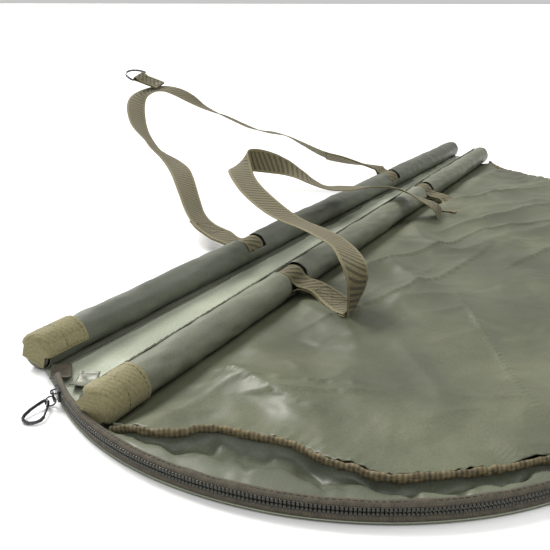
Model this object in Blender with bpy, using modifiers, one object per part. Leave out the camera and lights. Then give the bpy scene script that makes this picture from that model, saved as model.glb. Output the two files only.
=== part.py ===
"""Weigh sling: a zipped cloth body on two sleeved poles, carried by two webbing handles.

Metres, +Z up. The origin lies on the ground in the middle of the mouth, between the two poles.
+X runs along the near pole, +Y points to the far pole, and the body lies towards -Y.
"""
import math

import bmesh
import bpy
from mathutils import Matrix, Vector

# Clearances
GAP = 0.0003
MERGE = 0.00005

# Poles, end plugs and sleeves
POLE_LENGTH = 1.100
POLE_RADIUS = 0.0118
POLE_WALL = 0.0015
PLUG_SPIGOT_LENGTH = 0.018
PLUG_FLANGE_THICKNESS = 0.0013
PLUG_FLANGE_RADIUS = 0.0137
SLEEVE_RADIUS = 0.0153
SLEEVE_WALL = 0.0013
CUTOUT_MARGIN = 0.004
SLEEVE_END_INSET = 0.0005
ROUND_SIDES = 32
SECTOR_STEPS = 8
SPIN_STEPS = 10
END_LIP_BORE = 0.003

# Where the poles lie
NEAR_POLE_SETBACK = 0.0470
NEAR_POLE_SHIFT = 0.0015
FAR_POLE_SETBACK = 0.0427
FAR_POLE_SHIFT = 0.0562
FAR_POLE_TOE_IN_DEGREES = -1.97

# Cloth
CLOTH = 0.0012
SEAM_FLANGE_WIDTH = 0.014
SEAM_FLANGE_SETBACK = 0.0094
SEAM_BAND = 0.0010
SEAM_BAND_DEGREES = 28.0
PANEL_SETBACK = 0.0069
PANEL_TUCK = 0.020016
CLOTH_LOFT = 0.0105
EDGE_BLEND = 0.040
PANEL_COLUMNS = 24
BINDING_RADIUS = 0.0030
BINDING_HEIGHT = 0.0165
BINDING_INSET = 0.0245
BINDING_DROP = 0.02016
RIGHT_EDGE_HEIGHT = 0.0090
BOTTOM_SEAM_HEIGHT = 0.0045
BOTTOM_SEAM_INSET = 0.0060
BOTTOM_SEAM_FROM_ZIP = 0.0160056
BOTTOM_SEAM_FROM_BINDING = 0.0111
GUSSET_RIM_HEIGHT = 0.0165
GUSSET_DIP = 0.0050
GUSSET_TOP_DEGREES = 161.5
GUSSET_BOTTOM_DEGREES = 256.0
GUSSET_CLEARANCE = 0.0013
PANEL_CLEARANCE = 0.0012
LINING_REACH = 0.0370
LINING_END_INSET = 0.0190
LINING_STEPS = 12

# Zip: its edge lies on one arc from the mouth's left corner to the foot of the body
ZIP_TOP_IN = 0.034614521922119
ZIP_TOP_Y = 0.021934218076770
ZIP_BELOW_BODY = 0.0007
ZIP_HEIGHT = 0.0100
ZIP_TOP_DEGREES = 138.0
ZIP_BOTTOM_DEGREES = 264.0
SLIDER_DEGREES = 143.8
TOOTH_ROW_HEIGHT = 0.0020
TOOTH_ROW_THICKNESS = 0.0025
TOOTH_SLIT = 0.0010
TAPE_THICKNESS = 0.0006
TAPE_TOP = 0.0170
ARC_STEP_DEGREES = 4.0
BOTTOM_STOP_LENGTH = 0.006
ZIP_TAB_LENGTH = 0.014
ZIP_TAB_WIDTH = 0.010
# Places of the cloth's corner and upper tape end, from the top of the zip's arc
ZIP_CORNER_IN = -0.0016145
ZIP_CORNER_UP = -0.0019342
UPPER_TAB_IN = 0.0153855
UPPER_TAB_UP = -0.0169342
# Place of the lower tape end, from the far pole's left end
LOWER_TAB_OUT = 0.00552507
LOWER_TAB_DOWN = 0.03060692

# Slider, pull, ring and clip
SLIDER_LENGTH = 0.012
SLIDER_HALF_HEIGHT = 0.0045
SLIDER_PLATE = 0.0012
SLIDER_CLEARANCE = 0.00035
SLIDER_LIP = 0.0010
POST_WIDTH = 0.0006
POST_LENGTH = 0.0020
POST_INSET = 0.0005
BAIL_RADIUS = 0.0006
BAIL_REACH = 0.0040
BAIL_MIDDLE = 0.0022
BAIL_HOLE_SHARE = 0.6
PULL_WIRE_RADIUS = 0.0006
PULL_HALF_WIDTH = 0.0022
PULL_LENGTH = 0.0073
RING_RADIUS = 0.0040
RING_WIRE_RADIUS = 0.0006
RING_HANG = 0.0024
RING_STEPS = 20
CLIP_HANG = 0.0018
CLIP_WIRE_RADIUS = 0.0013
CLIP_GATE_RADIUS = 0.0009
CLIP_LENGTH = 0.0285
CLIP_WIDTH = 0.018
CLIP_TOP_RADIUS = 0.0026
CLIP_TURN_STEPS = 8
CLIP_GATE_START = 0.26
CLIP_GATE_END = 0.70
CLIP_HEADING_DEGREES = 197.0

# Webbing and handles
WEBBING_WIDTH = 0.030
WEBBING = 0.0016
END_TAB_LENGTH = 0.044
FAR_ANCHOR_SPREAD = 0.434
NEAR_ANCHOR_SPREAD = 0.440
NEAR_ANCHOR_SHIFT = -0.0265
DOUBLED_LENGTH = 0.050
FAR_EXIT_LEFT_DEGREES = 16.0
FAR_EXIT_RIGHT_DEGREES = 52.0
NEAR_EXIT_DEGREES = 180.0
WRAP_OPENING_DEGREES = 24.0
WRAP_STEPS = 24
FAR_REACH = 0.400
FAR_RISE = 0.140
NEAR_REACH = 0.160
NEAR_RISE = 0.080
TAB_REACH = 0.086
MITRE_REACH = 0.030
NEAR_FOLD_DIRECTION = (0.99708, 0.0764, 0.0)
ROUTE_STEPS = 3

# D-ring
D_RING_WIRE_RADIUS = 0.0017
D_RING_HALF_WIDTH = 0.0213
D_RING_BOW = 0.0230
D_RING_OFFSET = 0.0740
D_RING_DROP = 0.0026
D_RING_TAB_LENGTH = 0.0420
D_RING_STATION = 14
D_RING_STEPS = 12

# Body outline below the mouth
BODY_DEPTH = 0.3600
PANEL_END_INSET = 0.0060
RIGHT_MARGIN = 0.0060

MATERIALS = {
    "cloth": ((0.147, 0.160, 0.112), 0.48, 0.0),
    "lining": ((0.42, 0.47, 0.38), 0.30, 0.0),
    "webbing": ((0.21, 0.18, 0.105), 0.85, 0.0),
    "zip_nylon": ((0.045, 0.045, 0.032), 0.45, 0.0),
    "dark_metal": ((0.10, 0.10, 0.10), 0.30, 1.0),
    "aluminium": ((0.55, 0.56, 0.57), 0.35, 1.0),
    "plug_plastic": ((0.16, 0.165, 0.165), 0.40, 0.0),
}

# Each route point: share of the handle's spread, share of its reach, share of its rise,
# then the direction of the webbing's width there.
FAR_ROUTE_SHARES = [
    (-0.465, 0.118, 0.048, (0.93, -0.35, 0.10)),
    (-0.424, 0.208, 0.069, (0.88, -0.45, -0.10)),
    (-0.374, 0.284, 0.126, (0.78, -0.52, -0.30)),
    (-0.305, 0.362, 0.219, (0.75, -0.60, -0.25)),
    (-0.205, 0.473, 0.348, (0.72, -0.68, 0.00)),
    (-0.136, 0.571, 0.405, (0.80, -0.53, -0.20)),
    (-0.095, 0.663, 0.462, (0.80, -0.38, -0.42)),
    (-0.065, 0.721, 0.512, (0.75, -0.33, -0.55)),
    (-0.006, 0.819, 0.605, (0.76, -0.48, -0.42)),
    (0.063, 0.899, 0.684, (0.70, -0.64, -0.28)),
    (0.142, 0.974, 0.800, (0.45, -0.88, -0.15)),
    (0.200, 1.004, 0.890, (0.15, -0.98, -0.05)),
    (0.256, 0.992, 0.950, (-0.40, -0.86, -0.10)),
    (0.293, 0.950, 0.965, (-0.80, -0.52, -0.20)),
    (0.312, 0.896, 0.930, (-0.95, -0.20, -0.26)),
    (0.319, 0.838, 0.862, (-0.97, -0.10, -0.20)),
    (0.328, 0.778, 0.769, (-0.97, -0.20, 0.05)),
    (0.339, 0.714, 0.698, (-0.95, -0.22, 0.22)),
    (0.348, 0.659, 0.648, (-0.90, -0.28, 0.33)),
    (0.359, 0.584, 0.569, (-0.90, -0.25, 0.35)),
    (0.373, 0.522, 0.519, (-0.95, -0.22, 0.20)),
    (0.388, 0.476, 0.498, (-0.96, -0.25, 0.10)),
    (0.404, 0.414, 0.462, (-0.93, -0.28, 0.22)),
    (0.410, 0.354, 0.398, (-0.88, -0.30, 0.35)),
    (0.430, 0.254, 0.276, (-0.80, -0.33, 0.48)),
    (0.453, 0.178, 0.226, (-0.80, -0.33, 0.45)),
    (0.471, 0.118, 0.191, (-0.90, -0.20, 0.30)),
]
NEAR_ROUTE_SHARES = [
    (-0.586, -0.5475, -0.0375, (1.00, 0.076, 0.00)),
    (-0.587, -0.558, 0.045, (1.00, 0.03, 0.00)),
    (-0.592, -0.574, 0.150, (0.98, -0.10, 0.00)),
    (-0.600, -0.590, 0.285, (0.96, -0.22, 0.00)),
    (-0.606, -0.594, 0.434, (0.92, -0.34, -0.05)),
    (-0.5955, -0.556, 0.571, (0.85, -0.48, -0.15)),
    (-0.552, -0.450, 0.646, (0.80, -0.55, -0.25)),
    (-0.489, -0.269, 0.652, (0.75, -0.65, -0.15)),
    (-0.423, -0.063, 0.621, (0.75, -0.65, -0.12)),
    (-0.375, 0.125, 0.596, (0.74, -0.66, -0.10)),
    (-0.339, 0.287, 0.621, (0.74, -0.67, -0.05)),
    (-0.302, 0.456, 0.690, (0.72, -0.69, 0.00)),
    (-0.257, 0.638, 0.784, (0.70, -0.71, 0.00)),
    (-0.200, 0.806, 0.871, (0.64, -0.76, 0.00)),
    (-0.143, 0.931, 0.946, (0.55, -0.80, 0.25)),
    (-0.093, 0.994, 0.996, (0.35, -0.55, 0.76)),
    (-0.041, 0.975, 0.971, (0.15, -0.10, 0.98)),
    (0.005, 0.906, 0.909, (0.30, 0.25, 0.92)),
    (0.030, 0.806, 0.834, (0.62, 0.42, 0.65)),
    (0.039, 0.681, 0.734, (0.88, 0.30, 0.25)),
    (0.043, 0.556, 0.621, (0.95, 0.28, 0.00)),
    (0.066, 0.456, 0.521, (0.80, 0.60, 0.00)),
    (0.116, 0.406, 0.446, (0.45, 0.88, 0.00)),
    (0.175, 0.381, 0.396, (0.40, 0.90, 0.00)),
    (0.230, 0.325, 0.359, (0.70, 0.70, -0.15)),
    (0.264, 0.200, 0.350, (0.90, 0.30, -0.25)),
    (0.273, 0.044, 0.350, (0.90, 0.10, -0.28)),
    (0.262, -0.106, 0.300, (0.87, -0.10, -0.35)),
    (0.262, -0.225, 0.210, (0.92, -0.20, -0.25)),
    (0.270, -0.300, 0.140, (0.98, -0.10, -0.12)),
    (0.276, -0.345, 0.070, (1.00, 0.00, -0.05)),
    (0.280, -0.366, -0.035, (1.00, 0.077, 0.00)),
]

# Tabs: shares of the tab's reach along, out from and above the pole, and the width's direction
NEAR_LEFT_TAB_SHARES = [
    (0.000, 0.345, -0.008, (1.00, 0.00, 0.00)),
    (-0.015, 0.450, -0.035, (1.00, -0.03, 0.00)),
    (-0.085, 0.600, -0.070, (0.96, -0.25, 0.00)),
    (-0.215, 0.760, -0.079, (0.90, -0.43, 0.00)),
    (-0.345, 0.900, -0.062, (0.85, -0.52, 0.00)),
    (-0.440, 1.000, -0.035, (0.85, -0.52, 0.00)),
]
NEAR_RIGHT_TAB_SHARES = [
    (0.000, 0.345, -0.008, (1.00, 0.00, 0.00)),
    (-0.012, 0.450, -0.035, (1.00, -0.10, 0.00)),
    (-0.090, 0.575, -0.060, (0.80, -0.60, 0.00)),
    (-0.270, 0.660, -0.067, (0.42, -0.90, 0.00)),
    (-0.550, 0.695, -0.067, (0.13, -0.99, 0.00)),
    (-0.730, 0.692, -0.055, (0.00, -1.00, 0.00)),
    (-0.895, 0.680, -0.033, (0.00, -1.00, 0.00)),
]

# Outlines: shares of the body's half width, and of its depth below the near pole
RIGHT_OUTLINE_SHARES = [
    (1.011, -0.019), (1.000, 0.031), (0.936, 0.092), (0.882, 0.161), (0.827, 0.286),
    (0.782, 0.425), (0.736, 0.592), (0.655, 0.786), (0.527, 0.939), (0.400, 1.000),
]
RIGHT_BINDING_SHARES = [
    (0.984, 0.061), (0.924, 0.108), (0.869, 0.175), (0.816, 0.292), (0.771, 0.428),
    (0.725, 0.589), (0.645, 0.775), (0.527, 0.917), (0.442, 0.964),
]
# Left binding's upper part: share of the way down the body from below the near pole, then shares of
# the binding's inset from the zip's arc and of its height
LEFT_BINDING_SHARES = [
    (0.000000000, 0.47563925, 0.61), (0.046610169, 0.76310657, 0.88), (0.096398305, 0.92536750, 1.00),
    (0.140889831, 1.29891890, 1.00), (0.173728814, 1.80078743, 1.00), (0.200211864, 2.12068198, 1.00),
    (0.258474576, 2.22681986, 1.00), (0.295550847, 2.24971308, 1.00), (0.337923729, 2.30573637, 1.00),
    (0.382415254, 2.16555105, 1.00), (0.452330508, 1.69119542, 1.00), (0.502118644, 1.49066494, 1.00),
    (0.566383966, 1.11771932, 1.00), (0.647467000, 1.20645221, 1.00), (0.730260274, 1.32658852, 0.97),
]
# Its lower part: degrees round the zip's arc, then the same two shares
LEFT_BINDING_ARC_SHARES = [
    (234.0, 0.94, 0.91), (242.0, 0.86, 0.80), (248.0, 0.78, 0.74), (253.0, 0.66, 0.66),
    (257.0, 0.54, 0.58),
]
# Upper panel rows: share of the body's depth, or above the near pole of the panel's tuck, and of its loft
PANEL_ROW_SHARES = [
    (-1.0, 0.20), (-0.348921, 0.20), (0.0139, 0.20), (0.0361, 0.46), (0.0514, 0.58),
    (0.0694, 0.66), (0.0972, 0.70), (0.1333, 0.70), (0.1806, 0.70), (0.2306, 0.71),
    (0.3000, 0.81), (0.3694, 0.90), (0.4528, 0.97), (0.5361, 1.00), (0.6194, 1.00),
    (0.7028, 0.98), (0.7861, 0.90), (0.8472, 0.80), (0.8972, 0.71), (0.9361, 0.60),
    (0.9611, 0.50), (0.9735, 0.43),
]
# Share of the way from the zip to the binding, and of the gusset's dip
GUSSET_DIP_SHARES = [(0.0, 0.0), (0.18, 0.1), (0.45, 0.9), (0.75, 1.0), (1.0, 0.2)]
# Shares of the lining's reach, across from and above the near pole
LINING_SHARES = [
    (0.395, 0.192), (0.650, -0.027), (0.892, -0.257), (1.000, -0.332), (0.919, -0.405),
    (0.743, -0.427), (0.551, -0.4325),
]
# Clip: share of its length, share of its width
CLIP_SIDE_SHARES = [(0.09, 0.144), (0.22, 0.24), (0.45, 0.36), (0.70, 0.428)]
BAIL_SHARES = [(-0.15, 0.45), (0.75, 0.45), (1.0, 0.25), (1.0, -0.25), (0.75, -0.45), (-0.15, -0.45)]
# Wrap exits: multiples of the wrap's radius and of a layer's offset
EXIT_SHARES = [(1.42, 1.47), (1.86, 1.00)]
# Derived places
LAYER = (WEBBING + GAP) / 2
WRAP_RADIUS = POLE_RADIUS + GAP + WEBBING / 2
BODY_BOTTOM = -NEAR_POLE_SETBACK - BODY_DEPTH
BOTTOM_SEAM_Y = BODY_BOTTOM + BOTTOM_SEAM_INSET
BODY_HALF = POLE_LENGTH / 2
PANEL_HALF_TOP = BODY_HALF - PANEL_END_INSET
LINING_HALF_LENGTH = POLE_LENGTH / 2 - LINING_END_INSET
ZIP_TURN_SHARE = 1 + math.sin(math.radians(ZIP_TOP_DEGREES))
ZIP_ARC_RADIUS = (ZIP_TOP_Y - BODY_BOTTOM + ZIP_BELOW_BODY) / ZIP_TURN_SHARE
ZIP_TOP_X = -BODY_HALF + ZIP_TOP_IN
ZIP_ARC_X = ZIP_TOP_X - ZIP_ARC_RADIUS * math.cos(math.radians(ZIP_TOP_DEGREES))
ZIP_ARC_Y = BODY_BOTTOM - ZIP_BELOW_BODY + ZIP_ARC_RADIUS
ZIP_FOOT_X = ZIP_ARC_X + ZIP_ARC_RADIUS * math.cos(math.radians(ZIP_BOTTOM_DEGREES))
BOTTOM_SEAM_START = ZIP_FOOT_X + BOTTOM_SEAM_FROM_ZIP
BOTTOM_SEAM_END = RIGHT_BINDING_SHARES[-1][0] * BODY_HALF - BOTTOM_SEAM_FROM_BINDING
FAR_END_X = FAR_POLE_SHIFT - POLE_LENGTH / 2 * math.cos(math.radians(FAR_POLE_TOE_IN_DEGREES))
FAR_END_Y = FAR_POLE_SETBACK - POLE_LENGTH / 2 * math.sin(math.radians(FAR_POLE_TOE_IN_DEGREES))
END_TAB_PLACES = [
    ("zip_end_tab_lower", FAR_END_X - LOWER_TAB_OUT, FAR_END_Y - LOWER_TAB_DOWN, 40.0),
    ("zip_end_tab_upper", ZIP_TOP_X + UPPER_TAB_IN, ZIP_TOP_Y + UPPER_TAB_UP, 20.0),
]

parts = bpy.data.collections.new("weigh_sling")
cutters = bpy.data.collections.new("cutters")


def clear_scene():
    """Start from an empty scene."""
    for item in list(bpy.data.objects):
        bpy.data.objects.remove(item, do_unlink=True)
    bpy.context.scene.collection.children.link(parts)
    bpy.context.scene.collection.children.link(cutters)


def material(name):
    """Return the named finish as a Principled material."""
    found = bpy.data.materials.get(name)
    if found:
        return found
    colour, roughness, metallic = MATERIALS[name]
    made = bpy.data.materials.new(name)
    made.use_nodes = True
    shader = made.node_tree.nodes["Principled BSDF"]
    shader.inputs["Base Color"].default_value = (*colour, 1.0)
    shader.inputs["Roughness"].default_value = roughness
    shader.inputs["Metallic"].default_value = metallic
    return made


def add_part(name, data, finish, home=parts):
    """Put a mesh or curve in the scene under its node name."""
    item = bpy.data.objects.new(name, data)
    home.objects.link(item)
    if finish:
        data.materials.append(material(finish))
    return item


def mesh_part(name, shape, finish, home=parts):
    """Turn a bmesh into a named part with its faces pointing out."""
    bmesh.ops.recalc_face_normals(shape, faces=shape.faces)
    data = bpy.data.meshes.new(name)
    shape.to_mesh(data)
    shape.free()
    return add_part(name, data, finish, home)


def frame_matrix(origin, x_axis, y_axis, z_axis):
    """Return the placement of a local frame."""
    turn = Matrix((x_axis, y_axis, z_axis)).transposed().to_4x4()
    return Matrix.Translation(origin) @ turn


class Pole:
    """The line that a pole follows, and the directions across it."""

    def __init__(self, shift, setback, height, degrees):
        self.along = Vector((math.cos(math.radians(degrees)), math.sin(math.radians(degrees)), 0))
        self.across = Vector((-self.along.y, self.along.x, 0))
        self.up = Vector((0, 0, 1))
        self.middle = Vector((shift, setback, height))

    def point(self, along, across=0.0, up=0.0):
        """Return the world point at distances from the pole's middle."""
        return self.middle + self.along * along + self.across * across + self.up * up

    def matrix(self, along=0.0):
        """Return a frame whose X runs along the pole."""
        return frame_matrix(self.point(along), self.along, self.across, self.up)


UNDER_NEAR_POLE = 2 * CLOTH + 2 * GAP
NEAR = Pole(NEAR_POLE_SHIFT, -NEAR_POLE_SETBACK, UNDER_NEAR_POLE + SLEEVE_RADIUS, 0.0)
FAR = Pole(FAR_POLE_SHIFT, FAR_POLE_SETBACK, SLEEVE_RADIUS, FAR_POLE_TOE_IN_DEGREES)


def turned(name, pole, profile, closed, finish, side=1):
    """Turn a profile of (radius, along) points about a pole's axis."""
    shape = bmesh.new()
    points = [shape.verts.new((radius, 0, along)) for radius, along in profile]
    for here, following in zip(points, points[1:]):
        shape.edges.new((here, following))
    if closed:
        shape.edges.new((points[-1], points[0]))
    data = bpy.data.meshes.new(name)
    shape.to_mesh(data)
    shape.free()
    item = add_part(name, data, finish)
    item.matrix_world = frame_matrix(pole.middle, pole.across, pole.up * side, pole.along * side)
    screw = item.modifiers.new("turn", "SCREW")
    screw.axis = "Z"
    screw.steps = ROUND_SIDES
    screw.render_steps = ROUND_SIDES
    screw.use_merge_vertices = True
    screw.merge_threshold = MERGE
    return item


def pole_tube(name, pole):
    """Make the hollow pole itself."""
    inner = POLE_RADIUS - POLE_WALL
    end = POLE_LENGTH / 2
    profile = [(POLE_RADIUS, end), (POLE_RADIUS, -end), (inner, -end), (inner, end)]
    return turned(name, pole, profile, True, "aluminium")


def end_plug(name, pole, side):
    """Make the stepped plug that closes one end of a pole."""
    bore = POLE_RADIUS - POLE_WALL - GAP
    end = POLE_LENGTH / 2
    seat = end + GAP
    top = seat + PLUG_FLANGE_THICKNESS
    profile = [(0, top), (PLUG_FLANGE_RADIUS, top), (PLUG_FLANGE_RADIUS, seat), (bore, seat),
               (bore, end - PLUG_SPIGOT_LENGTH), (0, end - PLUG_SPIGOT_LENGTH)]
    return turned(name, pole, profile, False, "plug_plastic", side)


def sector(name, pole, start, end, reach, low_degrees, high_degrees, home, finish):
    """Make a wedge of a cylinder round a pole, between two places along it."""
    flat = [(0, 0)]
    for k in range(SECTOR_STEPS + 1):
        angle = math.radians(low_degrees + (high_degrees - low_degrees) * k / SECTOR_STEPS)
        flat.append((reach * math.cos(angle), reach * math.sin(angle)))
    shape = bmesh.new()
    face = shape.faces.new([shape.verts.new(pole.point(start, y, z)) for y, z in flat])
    grown = bmesh.ops.extrude_face_region(shape, geom=[face])["geom"]
    moved = [item for item in grown if isinstance(item, bmesh.types.BMVert)]
    bmesh.ops.translate(shape, verts=moved, vec=pole.along * (end - start))
    return mesh_part(name, shape, finish, home)


def hide_cutter(item):
    """Keep a cutter out of the render."""
    item.hide_render = True
    item.display_type = "WIRE"


def combine(item, cutter, operation):
    """Cut or join one object with another."""
    joined = item.modifiers.new(operation.lower(), "BOOLEAN")
    joined.operation = operation
    joined.solver = "EXACT"
    joined.object = cutter
    hide_cutter(cutter)


def sleeve(name, pole, anchors, low_degrees, high_degrees):
    """Make a pole's cloth sleeve with a cut-out at each handle anchor."""
    inner = SLEEVE_RADIUS - SLEEVE_WALL
    end = POLE_LENGTH / 2 - SLEEVE_END_INSET
    profile = [(SLEEVE_RADIUS, end), (SLEEVE_RADIUS, -end), (inner, -end), (inner, end)]
    tube = turned(name, pole, profile, True, "cloth")
    half = WEBBING_WIDTH / 2 + CUTOUT_MARGIN
    for number, anchor in enumerate(anchors):
        wedge = sector(name + "_cutout_" + str(number), pole, anchor - half, anchor + half,
                       2 * SLEEVE_RADIUS, low_degrees, high_degrees, cutters, None)
        combine(tube, wedge, "DIFFERENCE")


def spun(name, pole, profile, low_degrees, high_degrees, finish):
    """Sweep a closed profile of (along, radius) points part of the way round a pole."""
    shape = bmesh.new()
    start = math.radians(low_degrees)
    aside, rise = math.cos(start), math.sin(start)
    face = shape.faces.new([shape.verts.new(pole.point(along, radius * aside, radius * rise))
                            for along, radius in profile])
    bmesh.ops.spin(shape, geom=[face], cent=pole.middle, axis=pole.along, steps=SPIN_STEPS,
                   angle=math.radians(high_degrees - low_degrees), use_duplicate=False)
    bmesh.ops.remove_doubles(shape, verts=shape.verts, dist=MERGE)
    return mesh_part(name, shape, finish)


def end_tab(name, pole, low_degrees, high_degrees):
    """Make the webbing tab that covers a pole's left end, with its folded end lip."""
    inner = max(SLEEVE_RADIUS, PLUG_FLANGE_RADIUS) + GAP
    outer = inner + WEBBING
    start = POLE_LENGTH / 2 + 2 * GAP + PLUG_FLANGE_THICKNESS
    lip = start + WEBBING
    finish = POLE_LENGTH / 2 - END_TAB_LENGTH
    profile = [(-lip, END_LIP_BORE), (-lip, outer), (-finish, outer), (-finish, inner),
               (-start, inner), (-start, END_LIP_BORE)]
    return spun(name, pole, profile, low_degrees, high_degrees, "webbing")


def sleeve_band(name, pole, thickness, low_degrees, high_degrees, inset, finish):
    """Make a strip that lies on a sleeve along the whole pole."""
    inner = SLEEVE_RADIUS + GAP
    outer = inner + thickness
    start = -POLE_LENGTH / 2 + END_TAB_LENGTH + inset
    end = POLE_LENGTH / 2 - inset
    profile = [(start, inner), (start, outer), (end, outer), (end, inner)]
    return spun(name, pole, profile, low_degrees, high_degrees, finish)


def flat_piece(name, outline, low, high, finish):
    """Make a flat piece from its outline, between two heights."""
    data = bpy.data.curves.new(name, "CURVE")
    data.dimensions = "2D"
    data.fill_mode = "BOTH"
    data.extrude = (high - low) / 2
    line = data.splines.new("POLY")
    line.points.add(len(outline) - 1)
    for point, (x, y) in zip(line.points, outline):
        point.co = (x, y, 0, 1)
    line.use_cyclic_u = True
    item = add_part(name, data, finish)
    item.location = (0, 0, (low + high) / 2)
    return item


def wire(name, points, radius, finish, closed=False, resolution=2):
    """Make a round wire along points, with its ends filled."""
    data = bpy.data.curves.new(name, "CURVE")
    data.dimensions = "3D"
    data.bevel_depth = radius
    data.bevel_resolution = resolution
    data.use_fill_caps = not closed
    line = data.splines.new("POLY")
    line.points.add(len(points) - 1)
    for point, place in zip(line.points, points):
        point.co = (*place, 1)
    line.use_cyclic_u = closed
    return add_part(name, data, finish)


def sheet(name, rows, thickness, finish):
    """Make cloth from rows of points, with an even thickness."""
    shape = bmesh.new()
    grid = [[shape.verts.new(point) for point in row] for row in rows]
    for row, following in zip(grid, grid[1:]):
        for k in range(len(row) - 1):
            shape.faces.new((row[k], row[k + 1], following[k + 1], following[k]))
    item = mesh_part(name, shape, finish)
    solid = item.modifiers.new("thickness", "SOLIDIFY")
    solid.thickness = thickness
    solid.offset = 0.0
    return item


def arc_point(degrees, radius=ZIP_ARC_RADIUS):
    """Return a plan point on the zip's arc."""
    angle = math.radians(degrees)
    return (ZIP_ARC_X + radius * math.cos(angle), ZIP_ARC_Y + radius * math.sin(angle))


def arc_range(start, end, radius=ZIP_ARC_RADIUS, step=ARC_STEP_DEGREES):
    """Return plan points along the zip's arc."""
    count = max(1, round(abs(end - start) / step))
    return [arc_point(start + (end - start) * k / count, radius) for k in range(count + 1)]


def arc_band(name, start, end, inner, outer, low, high, finish):
    """Make a band that follows the zip's arc."""
    outline = arc_range(start, end, outer) + arc_range(end, start, inner)
    return flat_piece(name, outline, low, high, finish)


def smooth(points, steps=ROUTE_STEPS):
    """Return points along a smooth curve through the given ones."""
    count = len(points)
    result = []
    for k in range(count - 1):
        before = points[max(k - 1, 0)]
        here = points[k]
        following = points[k + 1]
        beyond = points[min(k + 2, count - 1)]
        for step in range(steps):
            t = step / steps
            bend = (2 * here + (following - before) * t
                    + (2 * before - 5 * here + 4 * following - beyond) * t ** 2
                    + (3 * here - before - 3 * following + beyond) * t ** 3)
            result.append(bend / 2)
    result.append(points[-1])
    return result


def level_at(table, where):
    """Read a table of (position, value) pairs between its rows."""
    rows = sorted(table)
    if where <= rows[0][0]:
        return rows[0][1]
    for (low, first), (high, second) in zip(rows, rows[1:]):
        if where <= high:
            return first + (second - first) * (where - low) / (high - low)
    return rows[-1][1]


def stations(centres, widths):
    """Return (point, across, face direction) along a path; widths point roughly across it."""
    found = []
    count = len(centres)
    for k in range(count):
        run = (centres[min(k + 1, count - 1)] - centres[max(k - 1, 0)]).normalized()
        across = (widths[k] - run * widths[k].dot(run)).normalized()
        found.append((centres[k], across, run.cross(across)))
    return found


def layer(places, distance, backwards=False):
    """Shift a run of stations along their faces, and turn it round if asked."""
    moved = [(point + face * distance, across, face) for point, across, face in places]
    if backwards:
        moved = [(point, across, -face) for point, across, face in reversed(moved)]
    return moved


def strap(name, places, finish="webbing", width=WEBBING_WIDTH, thickness=WEBBING):
    """Make flat webbing through its stations."""
    shape = bmesh.new()
    rings = []
    for point, across, face in places:
        half = across * width / 2
        skin = face * thickness / 2
        corners = (point - half - skin, point + half - skin, point + half + skin, point - half + skin)
        rings.append([shape.verts.new(corner) for corner in corners])
    for ring, following in zip(rings, rings[1:]):
        for k in range(4):
            after = (k + 1) % 4
            shape.faces.new((ring[k], ring[after], following[after], following[k]))
    shape.faces.new(rings[0])
    shape.faces.new(rings[-1])
    return mesh_part(name, shape, finish)


def wrap(pole, anchor, exit_degrees):
    """Webbing round the pole, from its lower layer to its upper layer."""
    outward = math.radians(exit_degrees)
    radial = (math.cos(outward), math.sin(outward))
    lateral = (-radial[1], radial[0])

    def place(out, side):
        return pole.point(anchor, radial[0] * out + lateral[0] * side, radial[1] * out + lateral[1] * side)

    exits = [(WRAP_RADIUS * out, LAYER * side) for out, side in EXIT_SHARES]
    points = [place(out, -side) for out, side in reversed(exits)]
    opening = math.radians(WRAP_OPENING_DEGREES)
    for k in range(WRAP_STEPS + 1):
        angle = -opening - (2 * math.pi - 2 * opening) * k / WRAP_STEPS
        points.append(place(WRAP_RADIUS * math.cos(angle), WRAP_RADIUS * math.sin(angle)))
    points += [place(out, side) for out, side in exits]
    return points


def route(pole, middle, spread, reach, rise, table):
    """Turn a table of shares into smooth world points and width directions."""
    centres = [pole.point(middle + x * spread, y * reach, z * rise) for x, y, z, side in table]
    sides = [Vector(side).normalized() for x, y, z, side in table]
    return smooth(centres), smooth(sides)


def under(places):
    """Return the doubled webbing's lower layer beneath the start of a path, outer end first."""
    travelled = 0.0
    count = 1
    while travelled < DOUBLED_LENGTH:
        travelled += (places[count][0] - places[count - 1][0]).length
        count += 1
    options = [layer(places[:count], side * 2 * LAYER, True) for side in (-1, 1)]
    return min(options, key=lambda option: option[-1][0].z)


def far_handle():
    """Make the far handle: a loop round the pole at each end of one webbing strap."""
    centres, widths = route(FAR, 0.0, FAR_ANCHOR_SPREAD, FAR_REACH, FAR_RISE, FAR_ROUTE_SHARES)
    main = stations(centres, widths)
    loop = wrap(FAR, -FAR_ANCHOR_SPREAD / 2, FAR_EXIT_LEFT_DEGREES)
    start = stations(loop, [FAR.along] * len(loop))
    loop = list(reversed(wrap(FAR, FAR_ANCHOR_SPREAD / 2, FAR_EXIT_RIGHT_DEGREES)))
    finish = stations(loop, [-FAR.along] * len(loop))
    tail = layer(under(layer(main, 0.0, True)), 0.0, True)
    strap("far_handle", under(main) + start + main + finish + tail)


def near_handle():
    """Make the near handle between the folds at the ends of its two doubled tabs."""
    centres, widths = route(NEAR, NEAR_ANCHOR_SHIFT, NEAR_ANCHOR_SPREAD, NEAR_REACH, NEAR_RISE,
                            NEAR_ROUTE_SHARES)
    strap("near_handle", stations(centres, widths))


def mitre(places, cut):
    """Slant the last stretch of a strap so that its end lies along the cut's direction."""
    end = places[-1][0]
    slanted = []
    for k, (point, across, face) in enumerate(places):
        run = across.cross(face)
        if run.dot(end - places[0][0]) < 0:
            run = -run
        share = max(0.0, 1 - (end - point).length / MITRE_REACH)
        slanted.append((point, across + run * (share * cut.dot(run) / cut.dot(across)), face))
    return slanted


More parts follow.
